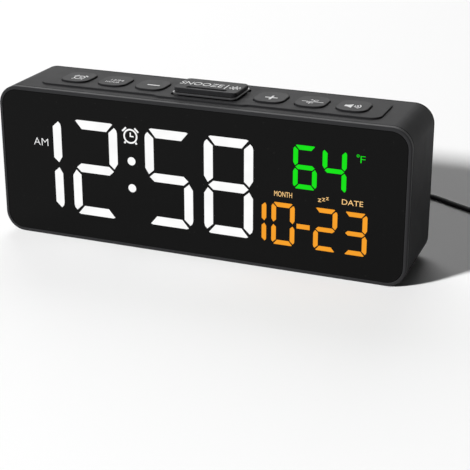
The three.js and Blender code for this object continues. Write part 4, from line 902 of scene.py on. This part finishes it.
# Keys: six caps moulded in the strip's plastic, each on a stem that presses a switch. A flange under the
# strip holds each one in, and its sign is printed on top in light grey ink.
KEY_TOP = TOP + 1.4
KEY_ROUND = 0.3
FLANGE_TOP = PANEL_LOW - 0.3
FLANGE_LOW = FLANGE_TOP - 0.8
FLANGE = 0.9
STEM_LOW = TOP - 4.2
STEM = [(1.7, STEM_LOW), (1.7, FLANGE_TOP - 0.5)]
STEM_SIDES = 28
# Painted highlight: the outer edges of the keys and the bar are lightened in their colour.
key_plastic = moulded_plastic("key_plastic", tint(24, 24, 25), 0.56, grain=2200, depth=0.04, specular=0.095,
                              drift=0.06, dust=0.04, marks=0.12, edge_highlight=tint(50, 50, 51))
for key, x in KEY_PLACES.items():
    cap = pad(x, ROW_Y, KEY, [(-FLANGE, FLANGE_LOW), (-FLANGE, FLANGE_TOP), (0, FLANGE_TOP),
                              *quarter_round(KEY_ROUND, KEY_TOP - KEY_ROUND)])
    stem = turned(STEM, STEM_SIDES, (x, ROW_Y, 0), axis="z")
    finish_piece(make_piece(f"key_cap_{key}", cap, stem), key_plastic, f"{key}_button", "case_plastic",
                 f"key_{key}")


# Snooze bar: a long bar over the middle of the strip, moulded like the keys, with a groove along its front
# edge for the finger. The low tier under it is polished and catches the light in a thin line, and its
# colour is lighter than the keys' as a painted highlight.
BAR_TOP = TOP + 3.6
BAR_ROUND = 0.5
BAR_LOW = TOP + 2.0
BAR_NECK = 0.6
TIER_LOW = TOP + 1.0
TIER_HIGH = TOP + 1.7
TIER_ROUND = 0.25
GROOVE = (18.4, 2.2, 1.1)
GROOVE_Y = -5.5
GROOVE_FLOOR = 0.6
GROOVE_WALL = 0.45
GROOVE_ROUND = 0.25
bar = make_piece("snooze_bar_cap", pad(0, ROW_Y, BAR, [
    (BAR_SKIRT - FLANGE, FLANGE_LOW), (BAR_SKIRT - FLANGE, FLANGE_TOP), (BAR_SKIRT, FLANGE_TOP),
    (BAR_SKIRT, TIER_LOW), (BAR_NECK, TIER_LOW), (BAR_NECK, BAR_LOW), (0, BAR_LOW),
    *quarter_round(BAR_ROUND, BAR_TOP - BAR_ROUND, 6)], BAR_STEPS))
carve(bar, turned(STEM, STEM_SIDES, (0, ROW_Y, 0), axis="z"), operation="UNION")
carve(bar, pad(0, GROOVE_Y, GROOVE, [(GROOVE_ROUND, BAR_TOP - GROOVE_FLOOR),
                                     *opening(BAR_TOP - GROOVE_WALL, BAR_TOP)]))
finish_piece(bar, key_plastic, "snooze_button", "case_plastic", "snooze_bar")
tier = make_piece("snooze_bar_tier", pad(0, ROW_Y, TIER, [
    (0, TIER_LOW), *quarter_round(TIER_ROUND, TIER_HIGH - TIER_ROUND, 4)], BAR_STEPS))
# Painted highlight: the tier is coloured lighter than the keys; its gloss is real.
tier_plastic = moulded_plastic("tier_plastic", tint(38, 38, 39), 0.3, grain=2200, depth=0.01, specular=0.6,
                               drift=0.06, dust=0.02, marks=0.05)
finish_piece(tier, tier_plastic, "snooze_button", "case_plastic")


# Signs on the keys: pad-printed in light grey ink on the caps, a little in front of their middles. Each is a
# film of ink with a slightly uneven tone.
INK_THICK = 0.03
INK_SUNK = 0.01
SIGN_Y = -1
SMALL_BELL = {"outer": 2.6, "inner": 2.05, "back": 0.25, "ahead": 0.2, "up": 1.5, "across": 1.3,
              "bells": ((3.3, 1.6), (1.6, 3.2), 0.65), "feet": ((1.95, -2.1), (2.5, -2.9), 0.6)}
PLUS_X = 27.65
PLUS_QUARTER = [(2.75, 0.45), (0.45, 0.45), (0.45, 2.8)]
MINUS = {"left": -29.5, "right": -23.8, "thick": 1.0}
SPEAKER = [(-3.4, -1.1), (-2.1, -1.1), (-0.2, -2.6), (-0.2, 2.6), (-2.1, 1.1), (-3.4, 1.1)]
SOUND_WAVES = (1.5, 2.6, 3.7)
SUN = {"x": 11.0, "y": 0.75, "outer": 1.35, "inner": 0.8, "ray_from": 1.75, "ray_to": 2.7, "rays": 8}
DIVIDER = {"x": 6.95, "low": -1.95, "high": 4.25}
INK_LINE = 0.5
ink = moulded_plastic("sign_ink", tint(190, 190, 190), 0.55, grain=3000, depth=0.01, drift=0.12, dust=0.0)


def ink_plate(outline, level=KEY_TOP):
    return ring_faces([placed(outline, z, (0, SIGN_Y, 0), "z")
                       for z in (level - INK_SUNK, level + INK_THICK)])


def ink_ring(x, y, outer, inner, level=KEY_TOP, sides=44):
    profile = flat_ring(outer, inner, level - INK_SUNK, level + INK_THICK)
    return turned(profile, sides, (x, y + SIGN_Y, 0), "z", closed=True)


def ink_arc(x, radius, width, half_degrees, steps=14):
    """Part of a flat ring round (x, 0), as far up as down."""
    angles = [math.radians(half_degrees * (2 * step / steps - 1)) for step in range(steps + 1)]
    edges = [[(x + edge * math.cos(angle), edge * math.sin(angle)) for angle in angles]
             for edge in (radius + width / 2, radius - width / 2)]
    return ink_plate(edges[0] + edges[1][::-1])


def lay_letters(name, text, size, width, x, y, level, body):
    """Letters that lie on a key and read from the front."""
    sign = letters(name, text, size, width)
    for vertex in sign.data.vertices:
        vertex.co += Vector((x, y + SIGN_Y, level + LIT_THICK / 4)) * MM
    finish_piece(sign, ink, body, "white_plastic")


alarm_x = KEY_PLACES["alarm"] + 0.6
volume_x = KEY_PLACES["volume"] - 0.3
unit_x = KEY_PLACES["unit"] + 0.4
format_x = KEY_PLACES["format"]
upper_half = PLUS_QUARTER + [(-u, v) for u, v in reversed(PLUS_QUARTER)]
plus = upper_half + [(-u, -v) for u, v in upper_half]
sign_shells = {
    "minus": [ink_plate(bar_between((MINUS["left"], 0), (MINUS["right"], 0), MINUS["thick"]))],
    "plus": [ink_plate([(PLUS_X + u, v) for u, v in plus])],
    "alarm": [ink_ring(alarm_x, 0, SMALL_BELL["outer"], SMALL_BELL["inner"]),
              *map(ink_plate, bell_outlines(alarm_x, 0, SMALL_BELL))],
    "volume": [ink_plate([(volume_x + u, v) for u, v in SPEAKER]),
               *[ink_arc(volume_x - 0.4, radius, INK_LINE, 42) for radius in SOUND_WAVES]],
    "unit": [ink_ring(unit_x - 1.0, 2.7, 0.5, 0.2, sides=24),
             ink_ring(unit_x - 1.9, -1.2, 0.5, 0.2, sides=24),
             ink_plate(bar_between((unit_x - 4.7, 0.2), (unit_x + 4.7, 0.2), 0.4))],
}
for key, shells in sign_shells.items():
    finish_piece(make_piece(f"sign_{key}", *shells), ink, f"{key}_button", "white_plastic")
for name, text, size, width, x, y, level, body in [
        ("sign_unit_c", "C", 3.0, 2.1, unit_x + 0.9, 2.0, KEY_TOP, "unit_button"),
        ("sign_unit_f", "F", 3.0, 1.8, unit_x - 0.2, -1.9, KEY_TOP, "unit_button"),
        ("sign_format_upper", "12/24", 3.0, 6.0, format_x + 0.6, 1.5, KEY_TOP, "format_button"),
        ("sign_format_lower", "HOUR", 2.4, 6.6, format_x - 0.4, -1.6, KEY_TOP, "format_button"),
        ("sign_snooze", "SNOOZE", 6.2, 19.4, -4.5, 1.6, BAR_TOP, "snooze_button")]:
    lay_letters(name, text, size, width, x, y, level, body)

sun = [ink_plate(bar_between((DIVIDER["x"], DIVIDER["low"]), (DIVIDER["x"], DIVIDER["high"]), INK_LINE),
                 BAR_TOP),
       ink_ring(SUN["x"], SUN["y"], SUN["outer"], SUN["inner"], BAR_TOP)]
for ray in range(SUN["rays"]):
    angle = ray / SUN["rays"] * 2 * math.pi
    ends = [(SUN["x"] + reach * math.cos(angle), SUN["y"] + reach * math.sin(angle))
            for reach in (SUN["ray_from"], SUN["ray_to"])]
    sun.append(ink_plate(bar_between(*ends, INK_LINE), BAR_TOP))
finish_piece(make_piece("sign_sun", *sun), ink, "snooze_button", "white_plastic")


# Rear cover: a shallow dish in the case's plastic with a lip that nests in the housing. It has sound slots
# for the buzzer, an opening for the power plug, one for the battery cap, and four countersunk screws.
COVER_BACK = 20
COVER_INSIDE = 18
COVER_ROUND = 1.6
CUT_START = 17
LIP_OUTER = 2.5
LIP_INNER = 3.9
LIP_END = 15.5
BATTERY_X = -48
BATTERY_Z = 33
CAP_RADIUS = 11.4
CAP_FIT = 0.3
LUG_REACH = 2.4
LUG_WIDTH = 5
PLUG_OPENING = (9.7, 3.9, 1.95)
PLUG_LEAD_IN = 0.4
BUZZER_X = 14
BUZZER_Z = 38.5
SOUND_SLOT = (1.3, 13, 0.64)
SLOTS_ASIDE = 3
SLOT_PITCH = 2.6
COVER_POST_END = 17.7
MAIN_POST = {"seat": 9.2, "radius": 2.5, "end": 18.2}
MAIN_PLACES = [(-62, 14), (-62, 50.5), (62, 14), (62, 50.5)]
HOLE_SIDES = 64
SCREW_HOLE = 2.9
SCREW_HOLE_START = 17.8
SCREW_SEAT = 17.9
SCREW_SIDES = 40
SCREW = [(0, -12), (1.3, -11), (1.3, 0), (2.6, 0), (2.6, 0.9), (2.35, 1.35), (1.7, 1.7), (0, 1.8)]
SCREW_SLOT = (1.6, 0.34)  # half its length and half its width
SCREW_SLOT_FLOOR = 0.8


def round_hole(x, z, radius, start):
    """Cutter for a round hole through the cover's back."""
    path = opening(start, COVER_BACK, EDGE_BREAK)
    return turned([(radius - inset, y) for inset, y in path], HOLE_SIDES, (x, 0, z))


def turned_box(long, wide_half, y0, y1, degrees):
    """Box round the battery cap's axis, turned about it."""
    turn = math.radians(degrees)
    rings = []
    for y in (y0, y1):
        corners = ((-long, -wide_half), (long, -wide_half), (long, wide_half), (-long, wide_half))
        rings.append([(BATTERY_X + u * math.cos(turn) - v * math.sin(turn), y,
                       BATTERY_Z + u * math.sin(turn) + v * math.cos(turn)) for u, v in corners])
    return ring_faces(rings)


cover_round = quarter_round(COVER_ROUND, COVER_BACK - COVER_ROUND, 8)
cover = make_piece("rear_cover_dish", ring_faces(case_rings([
    *reversed(cover_round), (0, COVER_INSIDE + EDGE_BREAK), (EDGE_BREAK, COVER_INSIDE),
    (LIP_OUTER, COVER_INSIDE), (LIP_OUTER, LIP_END), (LIP_INNER, LIP_END), (LIP_INNER, COVER_INSIDE)])))
carve(cover,
      round_hole(BATTERY_X, BATTERY_Z, CAP_RADIUS + CAP_FIT, CUT_START),
      turned_box(CAP_RADIUS + LUG_REACH + CAP_FIT, LUG_WIDTH / 2 + CAP_FIT, CUT_START, COVER_BACK + PAST, 45),
      block(PLUG_OPENING, (SOCKET_X, 0, SOCKET_Z), opening(CUT_START, COVER_BACK, PLUG_LEAD_IN), steps=12),
      *[round_hole(x, z, SCREW_HOLE, SCREW_HOLE_START) for x, side, z in at_screws()],
      *[block(SOUND_SLOT, (BUZZER_X + index * SLOT_PITCH, 0, BUZZER_Z),
              [(0, CUT_START), (0, COVER_BACK + PAST)]) for index in range(-SLOTS_ASIDE, SLOTS_ASIDE + 1)])
screw_post = [(POST_RADIUS, LIP_END), (POST_RADIUS, COVER_POST_END), (POST_BORE, COVER_POST_END),
              (POST_BORE, LIP_END)]
main_pin = pin_profile(MAIN_POST["end"], MAIN_POST["radius"], MAIN_POST["seat"], -1)
cover_posts = make_piece(
    "rear_cover_posts",
    *[turned(screw_post, POST_SIDES, (x, 0, z), closed=True) for x, side, z in at_screws()],
    *[turned(main_pin, POST_SIDES, (x, 0, z)) for x, z in MAIN_PLACES])
finish_piece(cover, case_plastic, "clock", "case_plastic", "rear_cover")
finish_piece(cover_posts, case_plastic, "clock", "case_plastic")

screw_steel = plated_metal("screw_steel", tint(150, 151, 154), 0.35, (1, 1, 1))
screw_profile = [(radius, SCREW_SEAT + y) for radius, y in SCREW]
slot_low, slot_high = SCREW_SEAT + SCREW_SLOT_FLOOR, COVER_BACK + PAST
for index, (x, side, z) in enumerate(at_screws(), 1):
    screw = make_piece(f"screw_in_cover_{index}", turned(screw_profile, SCREW_SIDES, (x, 0, z)))
    carve(screw, *[box_shell(x - u, x + u, slot_low, slot_high, z - v, z + v)
                   for u, v in (SCREW_SLOT, SCREW_SLOT[::-1])])
    finish_piece(screw, screw_steel, "clock", "plated_steel", f"cover_screw_{index}")


# Battery cap: a round cap in the same plastic, turned with a coin in its slot. Two lugs behind the cover
# hold it, and come free through the slanted notches.
CAP_INSIDE = 16.8
CAP_SIDES = 72
LUG_END = 17.7
COIN_SLOT = (13, 1.8, 0.6)
COIN_SLOT_FLOOR = 19
cap = make_piece("battery_cap_disc", turned([
    (CAP_RADIUS, CAP_INSIDE), (CAP_RADIUS, COVER_BACK - 0.25), (CAP_RADIUS - 0.1, COVER_BACK - 0.07),
    (CAP_RADIUS - 0.3, COVER_BACK)], CAP_SIDES, (BATTERY_X, 0, BATTERY_Z)))
carve(cap, turned_box(CAP_RADIUS + LUG_REACH, LUG_WIDTH / 2, CAP_INSIDE, LUG_END, 0), operation="UNION")
long, wide, corner = COIN_SLOT
carve(cap, ring_faces([
    placed(rounded_outline(long - 2 * inset, wide - 2 * inset, corner, 6), y, (BATTERY_X, 0, BATTERY_Z), "y")
    for inset, y in opening(COIN_SLOT_FLOOR, COVER_BACK, EDGE_BREAK)]))
finish_piece(cap, case_plastic, "battery_lid", "case_plastic", "battery_cap")


# Feet: four discs of soft black rubber, moulded with a rounded edge and pressed into pockets under the
# case. They keep it from sliding.
FOOT = [(4.2, 0), (4.4, 0.06), (4.5, 0.25), (4.5, 1.1)]
foot_rubber = moulded_plastic("foot_rubber", tint(24, 24, 24), 0.85, grain=1500, depth=0.06, specular=0.3)
for index, (x, y) in enumerate(foot_places, 1):
    foot = make_piece(f"rubber_foot_{index}", turned(FOOT, FOOT_SIDES, (x, y, 0), axis="z"))
    finish_piece(foot, foot_rubber, "clock", "foot_rubber", f"foot_{index}")


# Electronics inside: green fibreglass boards with printed tracks, black switches with white plungers, a
# buzzer, ribbons, and the metal socket and coin cell. They keep their CAD shapes.
def build_circuit_tracks():
    """Printed tracks: thin straight lines, brighter where the copper lies under the varnish."""
    group, given, way_out = new_group("circuit_tracks", {"Track Size": 300}, ["Varnish", "Copper"],
                                      {"Colour": COLOUR, "Height": NUMBER})
    cells = add_node(group, "TexVoronoi", {
        "Vector": object_place(group), "Scale": given["Track Size"], "Randomness": 0.7}, distance="CHEBYCHEV")
    line = ranged(group, cells.outputs["Distance"], 0.44, 0.48)
    fill(group, way_out, {"Colour": blended(group, line, given["Varnish"], given["Copper"]), "Height": line})
    return group


circuit_board, board_shader = new_material("circuit_board", tint(30, 78, 46), 0.4)
board_tree = circuit_board.node_tree
tracks = add_node(board_tree, "Group", {
    "Track Size": 320, "Varnish": (*tint(28, 74, 44), 1), "Copper": (*tint(62, 118, 66), 1)},
    node_tree=build_circuit_tracks()).outputs
track_bump = add_node(board_tree, "Bump", {"Distance": 0.03 * MM, "Height": tracks["Height"]})
fill(board_tree, board_shader, {"Base Color": tracks["Colour"], "Normal": track_bump.outputs["Normal"]})
buttons = [*KEY_PLACES, "snooze"]
for finish, names in [
        (circuit_board, ["key_board", "led_board", "main_board"]),
        (moulded_plastic("black_nylon", tint(32, 32, 33), 0.5, grain=1800, depth=0.02),
         ["cell_holder", "buzzer", "temperature_sensor", "degree_module", "date_module",
          *[f"switch_{button}" for button in buttons]]),
        (moulded_plastic("white_nylon", tint(228, 228, 224), 0.5, grain=1800, depth=0.02),
         ["light_reflector", *[f"plunger_{button}" for button in buttons]]),
        (moulded_plastic("black_film", tint(10, 10, 10), 0.7, grain=900, depth=0.005), ["legend_film"]),
        (moulded_plastic("milky_sheet", tint(236, 236, 232), 0.35, grain=700, depth=0.01),
         ["diffuser_sheet"]),
        (moulded_plastic("ribbon_film", tint(216, 218, 220), 0.4, grain=1400, depth=0.02),
         ["display_ribbon", "key_ribbon"]),
        (plated_metal("socket_steel", tint(196, 197, 200), 0.32, (1, 1, 0.06)), ["power_socket"]),
        (plated_metal("cell_steel", tint(208, 208, 206), 0.25, (1, 0.1, 1)), ["coin_cell"])]:
    for name in names:
        dress(name, finish)


# Table and light: a wide sheet of white studio paper and two soft lamps. The main one stands at the left in
# front, so the clock throws a soft shadow to the right and back. The other one lights the back.
PAPER = [(-4, -3, 0), (4, -3, 0), (4, 6, 0), (-4, 6, 0)]
SKY_LEVEL = 0.02
floor_mesh = bpy.data.meshes.new("floor")
floor_mesh.from_pydata(PAPER, [], [(0, 1, 2, 3)])
floor = add_object("floor", floor_mesh)
studio_paper, paper_shader = new_material("studio_paper", tint(244, 244, 244), 0.9, specular=0.1)
floor_mesh.materials.append(studio_paper)

# The camera and the reflections see a white room, which itself gives almost no light.
world = bpy.data.worlds.new("studio")
bpy.context.scene.world = world
world.use_nodes = True
sky = world.node_tree
ray = add_node(sky, "LightPath", {}).outputs
seen = calculate(sky, "MAXIMUM", ray["Is Camera Ray"], ray["Is Glossy Ray"])
fill(sky, sky.nodes["Background"], {"Color": (1, 1, 1, 1), "Strength": ranged(sky, seen, 0, 1, SKY_LEVEL)})


def soft_lamp(name, direction, distance, size, power):
    """Square lamp that stands off in a direction from the clock and faces it."""
    lamp = bpy.data.lights.new(name, "AREA")
    lamp.shape = "SQUARE"
    lamp.size = size
    lamp.energy = power
    holder = add_object(name, lamp)
    towards = Vector(direction).normalized()
    holder.location = towards * distance
    holder.rotation_euler = towards.to_track_quat("Z", "Y").to_euler()
    return holder


main_lamp = soft_lamp("main_lamp", (-0.54, -0.747, 0.389), distance=8, size=0.69, power=1430)
main_lamp.visible_glossy = False
soft_lamp("rear_lamp", (-0.32, 0.76, 0.58), distance=3, size=2.2, power=35)
